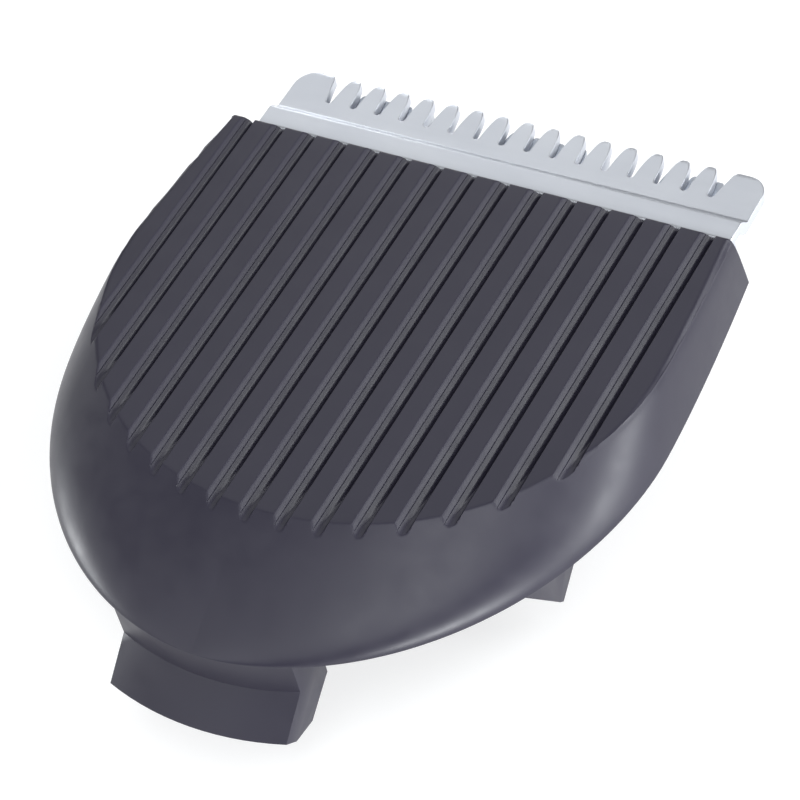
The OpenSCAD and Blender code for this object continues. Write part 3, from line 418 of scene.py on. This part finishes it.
class Shell:
    """Points in mm, rows of four corner indices, and many-sided faces of one or more closed shells."""

    def __init__(self):
        self.points, self.quads, self.wide, self.count = [], [], [], 0

    def add(self, points, quads=None, wide=()):
        """Add points with their own numbering of quads and of many-sided faces."""
        points = np.asarray(points, float).reshape(-1, 3)
        if quads is not None and len(quads):
            self.quads.append(np.asarray(quads) + self.count)
        self.wide += [np.asarray(face) + self.count for face in wide]
        self.points.append(points)
        self.count += len(points)

    def grid(self, grid, flip=False):
        """Add a grid of points and the quads between them."""
        grid = np.asarray(grid, float)
        self.add(grid, grid_faces(np.arange(grid[..., 0].size).reshape(grid.shape[:2]), flip))

    def slab(self, outline, low, high, edge):
        """A flat plate with rounded edges from its outline, anticlockwise.

        Round the edge the outline moves in by its radius times 1 - sin(a), where the height has come in by
        the radius times 1 - cos(a).
        """
        outline = np.asarray(outline, float)
        a = np.radians([0, 45, 90])
        inward = edge * (1 - np.sin(a))
        rise = edge * (1 - np.cos(a))
        inward = np.concatenate([inward, inward[::-1]])
        level = np.concatenate([low + rise, high - rise[::-1]])
        n = len(outline)
        plan = outline - mitres(outline) * inward[:, None, None]
        points = np.concatenate([plan, np.broadcast_to(level[:, None, None], (len(level), n, 1))], axis=-1)
        self.add(points, ring_faces(len(level), n), [np.arange(n)[::-1], np.arange(n) + (len(level) - 1) * n])

    def tube(self, at, inner, outer, low, high, edge):
        """A profile of radius and height turned round an upright axis, with broken outer edges."""
        a = np.linspace(0, 2 * np.pi, ROUND_STEPS + 1)
        profile = np.array([(inner, low), (outer - edge, low), (outer, low + edge), (outer, high - edge),
                            (outer - edge, high), (inner, high), (inner, low)])
        ring = np.stack([np.cos(a), np.sin(a)], -1)
        plan = ring[None] * profile[:, :1, None] + np.asarray(at)
        height = np.broadcast_to(profile[:, 1][:, None, None], plan.shape[:2] + (1,))
        self.grid(np.concatenate([plan, height], axis=-1))


def mitres(outline):
    """Outward offsets of a closed outline's corners for a unit step out: the mean of the two side normals."""
    ahead = np.roll(outline, -1, axis=0) - outline
    normal = np.stack([ahead[:, 1], -ahead[:, 0]], -1) / np.hypot(*ahead.T)[:, None]
    mean = normal + np.roll(normal, 1, axis=0)
    return mean / np.clip((mean * normal).sum(axis=1), 0.5, None)[:, None]


# ---------------------------------------------------------------- the guard
def tooth_side(root, tip, y0, y1, steps=15, first=0.0):
    """Half of a tooth's outline, as half width and y, from a share first along it.

    x = tip + (root - tip)(1 - s^TOOTH_SHAPE) and y = y0 + (y1 - y0) sin(90 s degrees).
    """
    s = first + (1 - first) * np.linspace(0, 1, steps) ** 0.9
    return np.stack([tip + (root - tip) * (1 - s ** TOOTH_SHAPE), y0 + (y1 - y0) * np.sin(np.pi / 2 * s)], -1)


def guard_front():
    """The guard's front edge from left to right: corner plate, teeth with round gap roots, corner plate.

    The right corner plate's inner side leans outwards by CORNER_LEAN, a small arc rounds its inner corner,
    and a quarter circle of CORNER_R rounds its outer one. The left plate is its mirror.
    """
    gap_r = TOOTH_GAP / 2
    first = np.arcsin(gap_r / (Y_TIPS - Y_ROOTS)) / (np.pi / 2)
    side = tooth_side((TOOTH_PITCH - TOOTH_GAP) / 2, TOOTH_TIP_W / 2, Y_ROOTS, Y_TIPS, first=first)
    tooth = np.concatenate([side * (-1, 1), side[::-1]])
    a = np.radians(np.arange(202.5, 350, 22.5))
    root = np.stack([np.cos(a), 1 + np.sin(a)], -1) * gap_r + (TOOTH_PITCH / 2, Y_ROOTS)
    centres = (np.arange(TEETH) - (TEETH - 1) / 2) * TOOTH_PITCH
    teeth = np.concatenate([np.concatenate([tooth, root]) + (c, 0) for c in centres])
    inner_x = centres[-1] + TOOTH_PITCH - (TOOTH_PITCH - TOOTH_GAP) / 2
    top_x = inner_x + CORNER_LEAN
    lean = np.linspace(0, CORNER_LEAN_END, 7)[:, None]
    foot = (inner_x, Y_ROOTS + gap_r) + lean * (CORNER_LEAN, Y_TIPS - Y_ROOTS - gap_r)
    b = np.radians(np.linspace(168, 90, 6))
    inner = (top_x, Y_TIPS) + CORNER_INNER_R * np.stack([1 + np.cos(b), np.sin(b) - 1], -1)
    c = np.radians(np.linspace(90, 0, 19))
    outer = (GUARD_HALF, Y_TIPS) + CORNER_R * np.stack([np.cos(c) - 1, np.sin(c) - 1], -1)
    middle = np.stack([np.linspace(inner[-1, 0], outer[0, 0], 5)[1:-1], np.full(3, Y_TIPS)], -1)
    corner = np.concatenate([foot, inner, middle, outer])
    return np.concatenate([corner[::-1] * (-1, 1), root - (TOOTH_PITCH * (TEETH + 1) / 2, 0), teeth, corner])


def guard_section():
    """Paired points (y, z) of the sheet's two faces, from the flange's foot over the bend and the step.

    The step goes from the strip's level to the plate's as 3 t^2 - 2 t^3.
    """
    bend = np.radians(np.linspace(180, 90, 6))
    around = np.stack([1 + np.cos(bend), np.sin(bend)], -1)
    t = np.linspace(0, 1, 15)
    step = np.stack([(Y_STEP - Y_STRIP) * t, (Z_PLATE - Z_STRIP) * (3 * t ** 2 - 2 * t ** 3)], -1)

    def face(side, y_foot, radius, y_step, z):
        """One face of the section, from its foot up the flange, round the bend and down the step."""
        flange = [(y_foot, Z_FLANGE), (y_foot, FLANGE_MIDS[side])]
        return np.concatenate([flange, (y_foot, z - radius) + radius * around, [(STRIP_MIDS[side], z)],
                               (y_step, z) + step])

    return (face(0, Y_FLANGE, BEND_R, Y_STRIP, Z_STRIP),
            face(1, Y_FLANGE + GUARD_T, BEND_INNER_R, Y_STRIP - STEP_SETBACK, Z_STRIP - GUARD_T))


# Rows of the plate, as shares of the way from Y_PLATE to the front edge: closest near the tips.
PLATE_ROWS = np.array([0, 0.25, 0.5, 0.65, 0.78, 0.88, 0.95, 1.0])


def build_guard():
    """The sheet as one grid whose columns start across the section and end at the front edge's points.

    Ahead of Y_PLATE each column goes straight to its point. The tips fall as the square of the way into
    TIP_FALL_RUN, and every edge is a quarter circle of GUARD_EDGE on both faces.
    """
    front = guard_front()
    n = len(front)
    along = np.gradient(front, axis=0)
    normal = np.stack([-along[:, 1], along[:, 0]], -1) / np.hypot(*along.T)[:, None]
    normal[0], normal[-1] = (-1, 0), (1, 0)
    inset = front - normal * GUARD_EDGE
    base_x = np.clip(front[:, 0], -GUARD_HALF + GUARD_EDGE, GUARD_HALF - GUARD_EDGE)
    top, low = guard_section()
    start = np.column_stack([base_x, np.full(n, Y_PLATE)])
    plan = start + (inset - start) * PLATE_ROWS[:, None, None]
    fall = TIP_FALL * np.clip((plan[..., 1] - (Y_TIPS - TIP_FALL_RUN)) / TIP_FALL_RUN, 0, 1) ** 2

    def sheet(section, height):
        """One face of the sheet: the section carried across, then the plate's rows at their heights."""
        rows = np.stack(np.broadcast_arrays(base_x, section[:, :1], section[:, 1:]), -1)
        return np.concatenate([rows, np.concatenate([plan, height[..., None]], -1)])

    upper = sheet(top, Z_PLATE - fall)
    under = sheet(low, np.full_like(fall, Z_PLATE - GUARD_T))
    a = np.radians([22.5, 45, 67.5, 90])
    out, drop = GUARD_EDGE * np.sin(a), GUARD_EDGE * (1 - np.cos(a))
    z_tip = upper[-1, :, 2]
    turn = [np.column_stack([inset + normal * o, z_tip - d]) for o, d in zip(out, drop)]
    back = [np.column_stack([inset + normal * o, under[-1, :, 2] + d]) for o, d in zip(out[::-1], drop[::-1])]
    loop = np.concatenate([upper, turn, back, under[::-1], upper[:1]])
    shell = Shell()
    shell.grid(loop, True)
    facing = upper[:, -1] - under[:, -1]
    facing /= np.linalg.norm(facing, axis=1)[:, None]
    for sign in (1, -1):
        edge_in = upper[:, -1] * (sign, 1, 1)
        edge_low = under[:, -1] * (sign, 1, 1)
        step = np.array([sign, 0, 0])
        side = [edge_in] + [edge_in + step * o - facing * d for o, d in zip(out, drop)]
        side += [edge_low + step * o + facing * d for o, d in zip(out[::-1], drop[::-1])] + [edge_low]
        shell.grid(np.stack(side), sign < 0)
        foot = np.stack(side)[:, 0]
        order = np.arange(len(foot))
        shell.add(foot, wide=[order if sign > 0 else order[::-1]])
        add_guard_arm(shell, sign)
    return shell


def add_guard_arm(shell, sign):
    """A screw arm under the guard: a web down from the bend, a bar back, and its eye."""
    for outline, levels, edge in ((ARM_WEB, WEB_LEVELS, WEB_EDGE), (ARM_BAR, ARM_LEVELS, ARM_EDGE)):
        placed = np.array(outline) * (sign, 1)
        shell.slab(placed[::sign], *levels, edge)
    shell.tube((EYE_AT[0] * sign, EYE_AT[1]), EYE_BORE_R, EYE_R, *ARM_LEVELS, ARM_EDGE)


# ---------------------------------------------------------------- the cap
RIM_DROP = Z_FACE - Z_RIM
# The middle grid of the skin ends a little beyond the outermost groove's far edge.
SIDE_X = (GROOVES - 1) / 2 * RIB_PITCH - GROOVE_PLACES[1] + GROOVE_MARGIN
# Points along half an outline: on its side and round its rear.
SIDE_STEPS = 160
REAR_STEPS = 360


def half_outline(front, wide, waist, length, fullness, side_steps=SIDE_STEPS, rear_steps=REAR_STEPS):
    """Right half of an outline from the front corner to the middle of the rear.

    The side bows out as 1 - (1 - s) to the power SIDE_BOW up to the waist, and the rear is a quarter of a
    superellipse: x = wide cos(a)^(2/fullness), y = -waist - (length - waist) sin(a)^(2/fullness).
    """
    s = np.linspace(0, 1, side_steps, endpoint=False)
    a = np.radians(np.linspace(0, 90, rear_steps))
    x = np.concatenate([front + (wide - front) * (1 - (1 - s) ** SIDE_BOW),
                        wide * np.clip(np.cos(a), 0, 1) ** (2 / fullness)])
    y = np.concatenate([-waist * s, -waist - (length - waist) * np.sin(a) ** (2 / fullness)])
    return np.stack([x, y + Y_FRONT], axis=1)


FACE_LINE = half_outline(*FACE)
RIM_LINE = half_outline(*RIM)
REAR_ANGLE = np.concatenate([np.zeros(SIDE_STEPS), np.radians(np.linspace(0, 90, REAR_STEPS))])
RULING = RIM_LINE - FACE_LINE
TANGENT = np.gradient(FACE_LINE, axis=0)
NORMAL = np.stack([-TANGENT[:, 1], TANGENT[:, 0]], axis=1) / np.hypot(*TANGENT.T)[:, None]
# Across the crease: how far the dome runs out, how steep it starts, and how far the rounding reaches.
RUN_OUT = (RULING * NORMAL).sum(axis=1)
START_SLOPE = RIM_DROP * (1 - DOME_BULGE) / RUN_OUT
CREASE_REACH = START_SLOPE * CREASE_R * np.tan(np.arctan(START_SLOPE) / 2)


def corner_weight(index):
    """How rounded the dome is at an index along the outline.

    It is sin(2a) to the power CORNER_FADE round the rear, and 0 along the side.
    """
    a = np.interp(index, np.arange(len(FACE_LINE)), REAR_ANGLE)
    return np.clip(np.sin(2 * a), 0, 1) ** CORNER_FADE


def dome_drop(share, weight):
    """Drop below the ribbed face at a share of the way out to the rim.

    Where the weight is 0 it is part linear and part square. Where it is 1 it is straight up to DOME_BEND
    and then turns down to upright at the rim, as the parabola with its control points at the end of the
    straight part, where that would reach the rim, and at the rim itself: u = 1 - sqrt(1 - way past
    DOME_BEND), drop = start + 2 (control - start) u + (start - 2 control + end) u^2.
    """
    control = RIM_DROP * (1 - DOME_BULGE)
    start = control * DOME_BEND
    u = 1 - np.sqrt(1 - np.clip((share - DOME_BEND) / (1 - DOME_BEND), 0, 1))
    bent = start + 2 * (control - start) * u + (start - 2 * control + RIM_DROP) * u ** 2
    bent = np.where(share < DOME_BEND, control * share, bent)
    plain = control * share + RIM_DROP * DOME_BULGE * share ** 2
    return plain + (bent - plain) * weight


def groove_floor(x, rise):
    """Height of the nearest groove's section, relative to the ribbed face.

    The depth goes from GROOVE_END_DEPTH at the crease to GROOVE_DEPTH where the dome's plane, carried on
    inwards, has gone up by 1 mm, because the tool lifts out of the groove there.
    """
    spot = np.clip(np.round((x + GROOVE_SHIFT) / RIB_PITCH), -(GROOVES - 1) / 2, (GROOVES - 1) / 2)
    section = np.interp(x - spot * RIB_PITCH, GROOVE_PLACES, GROOVE_HEIGHTS)
    depth = GROOVE_END_DEPTH + (GROOVE_DEPTH - GROOVE_END_DEPTH) * np.clip(rise, 0, 1)
    return -smooth_min(-section, depth, GROOVE_FLOOR_BLEND)


def front_round(y):
    """Height of the rounded front edge of the ribs: a quarter circle."""
    inside = np.clip(FRONT_EDGE_R - (Y_FRONT - y), 0, FRONT_EDGE_R)
    return Z_FACE - FRONT_EDGE_R + np.sqrt(FRONT_EDGE_R ** 2 - inside ** 2)


def finished_height(x, y, dome, reach):
    """Ribbed face and dome with their rounded crease, the rounded front edge and the grooves cut in."""
    body = smooth_min(np.full_like(dome, Z_FACE), dome, reach)
    body = smooth_min(body, front_round(y), FRONT_EDGE_BLEND)
    return smooth_min(body, Z_FACE + groove_floor(x, dome - Z_FACE), GROOVE_EDGE_BLEND)


def plateau_dome(x, y):
    """The dome's plane carried on inside the crease: it rises with the distance to the crease.

    Every third point of the outline is enough to find the nearest one.
    """
    flat = np.stack([np.abs(x).ravel(), y.ravel()], axis=1)
    gap = np.hypot(flat[:, None, 0] - FACE_LINE[None, ::3, 0], flat[:, None, 1] - FACE_LINE[None, ::3, 1])
    nearest = gap.argmin(axis=1)
    rise = START_SLOPE[::3][nearest] * gap.min(axis=1)
    return (Z_FACE + rise).reshape(x.shape), CREASE_REACH[::3][nearest].reshape(x.shape)


# Columns across one groove, from its middle: dense over its walls and its scored line, sparse over the rib.
COLUMN_OFFSETS = np.array([
    -0.9, -0.72, -0.66, -0.635, -0.61, -0.58, -0.48, -0.4, -0.355, -0.335, -0.31, -0.285, -0.265, -0.2,
    -0.12, -0.08, -0.04, -0.01, 0.02, 0.05, 0.07, 0.09, 0.12, 0.2, 0.3, 0.37, 0.395, 0.41, 0.43, 0.47,
    0.55, 0.8])


def column_places():
    """The x of each column: COLUMN_OFFSETS round every groove, as far as SIDE_X."""
    spots = (np.arange(GROOVES) - (GROOVES - 1) / 2) * RIB_PITCH
    x = (spots[:, None] + COLUMN_OFFSETS).ravel()
    x = x[np.abs(x) < SIDE_X]
    return np.unique(np.round(np.concatenate([[-SIDE_X], x, [SIDE_X]]), 4))


def crossing(shares, x):
    """Index along the outline where the dome's outline at each share crosses x, in its rear part."""
    found = np.empty((len(shares), len(x)))
    index = np.arange(len(FACE_LINE))
    for i, share in enumerate(shares):
        line = FACE_LINE[:, 0] + RULING[:, 0] * share
        widest = line.argmax()
        found[i] = np.interp(-np.abs(x), -line[widest:], index[widest:])
    return found


def on_line(line, index):
    """Points of a line at fractional indices."""
    whole = np.arange(len(line))
    return np.stack([np.interp(index, whole, line[:, k]) for k in range(line.shape[1])], axis=-1)


# Rows of the skin: over the front edge's rounding in mm, then shares of the way back over the face to the
# crease and of the way out over the dome to the rim, all closest where the height turns fastest.
FRONT_ROWS = np.array([0, 0.012, 0.03, 0.06, 0.1, 0.15, FRONT_EDGE_R])
FLAT_ROWS = 1 - (1 - np.linspace(0, 1, 30)[1:-1]) ** 1.7
DOME_SHARES = np.concatenate([np.linspace(0, 0.26, 34), np.linspace(0.26, 0.55, 8)[1:],
                              1 - 0.45 * (1 - np.linspace(0, 1, 25)[1:]) ** 2])
# Steps of a side grid: shares of the way out over the face, and of the rest of the way down the dome.
OUT_STEPS = 1 - (1 - np.linspace(0, 1, 12)[1:]) ** 1.6
DOWN_STEPS = np.concatenate([np.linspace(0, 0.5, 18)[1:], 1 - 0.5 * (1 - np.linspace(0, 1, 25)[1:]) ** 2])


def cap_skin():
    """The outside of the cap as three grids that share their rows.

    The middle grid has columns of constant x; its rows run from the front over the ribs to the
    crease and then follow the dome's outlines to the rim. Each side grid carries every row on
    outwards, over the crease, along the dome's ruling to the rim.
    """
    x = column_places()
    crease_index = crossing([0.0], x)[0]
    crease_y = on_line(FACE_LINE, crease_index)[:, 1]
    start = Y_FRONT - FRONT_EDGE_R
    front = np.broadcast_to((Y_FRONT - FRONT_ROWS)[:, None], (len(FRONT_ROWS), len(x)))
    flat = start + (crease_y - start) * FLAT_ROWS[:, None]
    y = np.concatenate([front, flat])
    wide = np.broadcast_to(x, y.shape)
    dome, reach = plateau_dome(wide, y)
    top = np.stack([wide, y, finished_height(wide, y, dome, reach)], axis=-1)

    index = crossing(DOME_SHARES, x)
    points = on_line(FACE_LINE, index) + on_line(RULING, index) * DOME_SHARES[:, None, None]
    dome = Z_FACE - dome_drop(DOME_SHARES[:, None], corner_weight(index))
    reach = np.interp(index, np.arange(len(FACE_LINE)), CREASE_REACH)
    spread = np.broadcast_to(x, index.shape)
    rear = np.stack([spread, points[..., 1], finished_height(spread, points[..., 1], dome, reach)], axis=-1)
    rear[-1, :, 2] = Z_RIM
    middle = np.concatenate([top, rear])
    side = side_grid(middle[:, -1], index[:, -1], len(y))
    return middle, side


def side_grid(inner, dome_index, flat_rows):
    """Rows from the last column outwards: straight out to the crease, then down the dome's ruling."""
    flat_y = inner[:flat_rows, 1]
    widest = FACE_LINE[:, 0].argmax()
    whole = np.arange(len(FACE_LINE))
    upto = int(math.ceil(dome_index[0])) + 1
    index = np.concatenate([np.interp(-flat_y, -FACE_LINE[:upto, 1], whole[:upto]), dome_index])
    edge, ruling = on_line(FACE_LINE, index), on_line(RULING, index)
    share = np.concatenate([np.zeros(flat_rows), DOME_SHARES])
    reach = np.interp(index, whole, CREASE_REACH)
    xs = inner[:flat_rows, :1] + (edge[:flat_rows, :1] - inner[:flat_rows, :1]) * OUT_STEPS
    ys = np.broadcast_to(flat_y[:, None], xs.shape)
    dome, blend = plateau_dome(xs, ys)
    face = np.stack([xs, ys, finished_height(xs, ys, dome, blend)], axis=-1)
    still = np.repeat(inner[flat_rows:, None], len(OUT_STEPS), axis=1)
    face = np.concatenate([face, still])
    shares = share[:, None] + (1 - share[:, None]) * DOWN_STEPS
    plan = edge[:, None] + ruling[:, None] * shares[..., None]
    height = smooth_min(np.full_like(shares, Z_FACE),
                        Z_FACE - dome_drop(shares, corner_weight(index)[:, None]), reach[:, None])
    height = smooth_min(height, front_round(plan[..., 1]), FRONT_EDGE_BLEND)
    height[:, -1] = Z_RIM
    slope = np.concatenate([plan, height[..., None]], axis=-1)
    return np.concatenate([inner[:, None], face, slope], axis=1)


def below(edge, levels):
    """Rows straight down from an edge to Z_RIM, as shares of the way."""
    rows = np.repeat(edge[None], len(levels), axis=0)
    rows[..., 2] = edge[:, 2] + (Z_RIM - edge[:, 2]) * np.asarray(levels)[:, None]
    return rows


def cap_outside():
    """The cap's skin, its front wall and its underside as one closed solid."""
    middle, side = cap_skin()
    mirrored = side * (-1, 1, 1)
    levels = (0, 0.25, 0.5, 0.75, 1)
    shell = Shell()
    for grid, flip in ((middle, True), (side, True), (mirrored, False), (below(middle[0], levels), True),
                       (below(side[0], levels), True), (below(mirrored[0], levels), False)):
        shell.grid(grid, flip)
    foot = below(middle[0], (1,))[0]
    bottom = np.concatenate([foot, below(side[0], (1,))[0][1:], side[1:, -1], middle[-1, ::-1][1:],
                             mirrored[::-1, -1][1:], below(mirrored[0], (1,))[0][::-1][1:]])
    centre = np.broadcast_to([0.0, 0.0, Z_RIM], bottom.shape)
    shell.grid(np.stack([bottom, centre]), True)
    return shell


def dome_share(z):
    """Share of the way out to the rim at which the hollow's dome is at height z: the root of a quadratic."""
    a = 1 - DOME_BULGE
    return (math.sqrt(a * a + 4 * DOME_BULGE * (Z_FACE - z) / RIM_DROP) - a) / (2 * DOME_BULGE)


# The hollow's points along its side and rear, and how far its tool reaches below the rim, in mm.
HOLLOW_STEPS = (20, 60)
HOLLOW_OVERCUT = 0.5


def cap_hollow():
    """The room under the cap: its outline stepped in by the wall, from below the rim up to the roof.

    At each level the outline is the face's times 1 - share and the rim's times share, and it starts 1 mm
    ahead of the cap, so that the cap is open at the front.
    """
    def inset(outline):
        """The whole outline, CAP_WALL further in at the sides and the rear."""
        front, wide, waist, length, fullness = outline
        half = half_outline(front - CAP_WALL, wide - CAP_WALL, waist, length - CAP_WALL, fullness,
                            *HOLLOW_STEPS)
        half = np.concatenate([[half[0] + (0, 1)], half])
        return np.concatenate([half, half[-2::-1] * (-1, 1)])

    face, rim = inset(FACE), inset(RIM)
    rings = []
    for z, share_z in ((Z_RIM - HOLLOW_OVERCUT, Z_TONGUE), (Z_TONGUE, Z_TONGUE), (Z_ROOF, Z_ROOF)):
        share = dome_share(share_z)
        line = face * (1 - share) + rim * share
        rings.append(np.column_stack([line, np.full(len(line), z)]))
    n = len(face)
    # Each quad starts at its lower corner, which settles the diagonal that the cut gives it.
    walls = np.roll(ring_faces(len(rings), n, flip=True), 1, axis=1)
    shell = Shell()
    shell.add(np.concatenate(rings), walls, [np.arange(n), np.arange(n)[::-1] + 2 * n])
    return shell


def carve(name, solid, hollow):
    """The first mesh less the second, as an exact Boolean."""
    made = [bpy.data.objects.new(name, mesh) for mesh in (solid, hollow)]
    for item in made:
        bpy.context.scene.collection.objects.link(item)
    cut = made[0].modifiers.new("hollow", "BOOLEAN")
    cut.operation = "DIFFERENCE"
    cut.solver = "EXACT"
    cut.object = made[1]
    bpy.context.view_layer.update()
    result = bpy.data.meshes.new_from_object(made[0].evaluated_get(bpy.context.evaluated_depsgraph_get()))
    for item in made:
        mesh = item.data
        bpy.data.objects.remove(item)
        bpy.data.meshes.remove(mesh)
    return result


def cap_inside():
    """The plate over the blades with its web, and the four screw bosses."""
    shell = Shell()
    for half, rear, front, foot, top, edge in (APRON, APRON_WEB):
        shell.slab([(-half, rear), (half, rear), (half, front), (-half, front)], foot, top, edge)
    for at in SCREWS:
        shell.tube(at, BOSS_BORE_R, BOSS_R, Z_BOSS, Z_ROOF + ROOF_BITE, BOSS_EDGE)
    return shell


add_piece("ribbed_cap", carve("cap", shell_mesh("cap outside", cap_outside()),
                              shell_mesh("cap hollow", cap_hollow())),
          "housing_plastic", "head", ("top_housing",))
add_piece("cap_apron_and_bosses", shell_mesh("cap inside", cap_inside()), "housing_plastic", "head")
add_piece("stepped_guard", shell_mesh("guard", build_guard()), "guard_steel", "head", ("guard_blade",))


# ---------------------------------------------------------------- the tray
# Points this near, in metres, are one. Joins flatter than FLAT_JOIN are dissolved, and joins steeper than
# ROUNDED_JOIN are rounded.
WELD_REACH = 1e-6
FLAT_JOIN = math.radians(0.5)
ROUNDED_JOIN = math.radians(30)


def softened(node, width):
    """A copy of a node with its edges rounded by a bevel of the given width, in mm.

    Normals follow the largest faces, so that flat faces keep an even shade up to the rounding.
    """
    source = frame["nodes"][node]
    copy = bpy.data.objects.new(node + "_rounded", source.data.copy())
    bpy.context.scene.collection.objects.link(copy)
    weld = copy.modifiers.new("weld", "WELD")
    weld.merge_threshold = WELD_REACH
    flat = copy.modifiers.new("flat", "DECIMATE")
    flat.decimate_type = "DISSOLVE"
    flat.angle_limit = FLAT_JOIN
    bevel = copy.modifiers.new("edges", "BEVEL")
    bevel.width = width * MM
    bevel.segments = 3
    bevel.limit_method = "ANGLE"
    bevel.angle_limit = ROUNDED_JOIN
    bevel.harden_normals = False
    bevel.use_clamp_overlap = True
    shading = copy.modifiers.new("shading", "WEIGHTED_NORMAL")
    shading.mode = "FACE_AREA"
    shading.weight = 100
    bpy.context.view_layer.update()
    mesh = bpy.data.meshes.new_from_object(copy.evaluated_get(bpy.context.evaluated_depsgraph_get()))
    bpy.data.objects.remove(copy)
    return mesh


add_piece("rounded_base", softened("base_housing", TRAY_EDGE), "housing_plastic", "head", ("base_housing",))


# ---------------------------------------------------------------- the coupling's spring
# Steps along one turn of the wire and round it.
TURN_STEPS = 48
WIRE_STEPS = 12


def build_spring(low, high):
    """Round wire along a helix: its middle is at (R cos a, R sin a) and rises evenly with a.

    A point at angle b round the wire is r cos(b) further out than the middle and r sin(b) higher.
    """
    a = np.linspace(0, 2 * np.pi * SPRING_TURNS, SPRING_TURNS * TURN_STEPS + 1)[:, None]
    b = np.linspace(0, 2 * np.pi, WIRE_STEPS + 1)
    out = SPRING_R + SPRING_WIRE_R * np.cos(b)
    height = low + SPRING_WIRE_R + (high - low - 2 * SPRING_WIRE_R) * a / a[-1] + SPRING_WIRE_R * np.sin(b)
    rings = np.stack([out * np.cos(a), out * np.sin(a), height], -1)
    index = np.arange(rings[..., 0].size).reshape(rings.shape[:2])
    shell = Shell()
    shell.add(rings, grid_faces(index, flip=True), [index[0, :-1], index[-1, -2::-1]])
    return shell


def add_spring():
    """The coil between the retaining ring and the coupling, on a mesh of its own."""
    low, high = (corner.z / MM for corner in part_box("coupling_spring"))
    spring = add_piece("coupling_coil", shell_mesh("coupling coil", build_spring(low, high)), "spring_steel",
                       "crank", ("coupling_spring",))
    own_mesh(spring)


add_spring()


# ---------------------------------------------------------------- stage
# The lamps stand LAMP_REACH metres from a point LAMP_AIM mm above the floor, and are slightly cool.
LAMP_REACH = 0.45
LAMP_AIM = 10.0
LAMP_COLOUR = (0.955, 0.98, 1.0)
WORLD_STRENGTH = 0.22
# The floor: half its side in metres, its colour, and the light it gives to the rays that see the background.
FLOOR_HALF = 2.0
FLOOR_COLOUR = "#b4b4b4"
FLOOR_GLOW = 0.62


def add_softbox(name, azimuth, elevation, size, power, height=None):
    """A square or lower softbox that faces the head; angles in degrees, size and height in metres."""
    data = bpy.data.lights.new(name, "AREA")
    data.shape = "RECTANGLE"
    data.size, data.size_y = size, height or size
    data.energy = power
    data.color = LAMP_COLOUR
    lamp = bpy.data.objects.new(name, data)
    turn, rise = math.radians(azimuth), math.radians(elevation)
    away = Vector((math.cos(rise) * math.cos(turn), math.cos(rise) * math.sin(turn), math.sin(rise)))
    lamp.matrix_world = (Matrix.Translation(away * LAMP_REACH + Vector((0, 0, LAMP_AIM * MM)))
                         @ away.to_track_quat("Z", "Y").to_matrix().to_4x4())
    bpy.context.scene.collection.objects.link(lamp)


def add_world():
    """An even white studio, which fills the shadows."""
    world = bpy.data.worlds.new("studio")
    bpy.context.scene.world = world
    world.use_nodes = True
    background = world.node_tree.nodes["Background"]
    background.inputs["Color"].default_value = (1, 1, 1, 1)
    background.inputs["Strength"].default_value = WORLD_STRENGTH


def add_floor():
    """A pale floor that the camera, mirrors and glass see as nearly white, with the head's shadow kept."""
    far = FLOOR_HALF
    mesh = bpy.data.meshes.new("floor")
    mesh.from_pydata([(-far, -far, 0), (far, -far, 0), (far, far, 0), (-far, far, 0)], [], [(0, 1, 2, 3)])
    floor = bpy.data.objects.new("floor", mesh)
    bpy.context.scene.collection.objects.link(floor)
    f = Finish("white card", Base_Color=FLOOR_COLOUR, Roughness=0.9, Emission_Color="#ffffff")
    path = f.node("ShaderNodeLightPath").outputs
    mirrored = f.node("ShaderNodeMath", {0: path["Is Glossy Ray"], 1: path["Is Transmission Ray"]},
                      operation="MAXIMUM")
    seen = f.node("ShaderNodeMath", {0: mirrored.outputs[0], 1: path["Is Camera Ray"]}, operation="MAXIMUM")
    glow = f.node("ShaderNodeMapRange", {"Value": seen.outputs[0], "To Max": FLOOR_GLOW})
    f.fill(f.shader, {"Emission Strength": glow.outputs["Result"]})
    floor.data.materials.append(f.material)


add_softbox("right softbox", 30, 38, 0.3, 1.3)
add_softbox("rear softbox", 300, 70, 0.26, 0.75)
add_softbox("left rear softbox", 238, 44, 0.2, 0.25)
add_softbox("front softbox", 126, 42, 0.26, 0.18)
add_softbox("front low strip", 122, 12, 0.08, 0.13)
add_softbox("right low strip", 10, 8, 0.1, 0.85)
add_softbox("rear low strip", 322, 10, 0.24, 2.1, height=0.1)
add_softbox("left low strip", 196, 9, 0.11, 0.95)
add_world()
add_floor()
bpy.context.scene.view_settings.view_transform = "Standard"
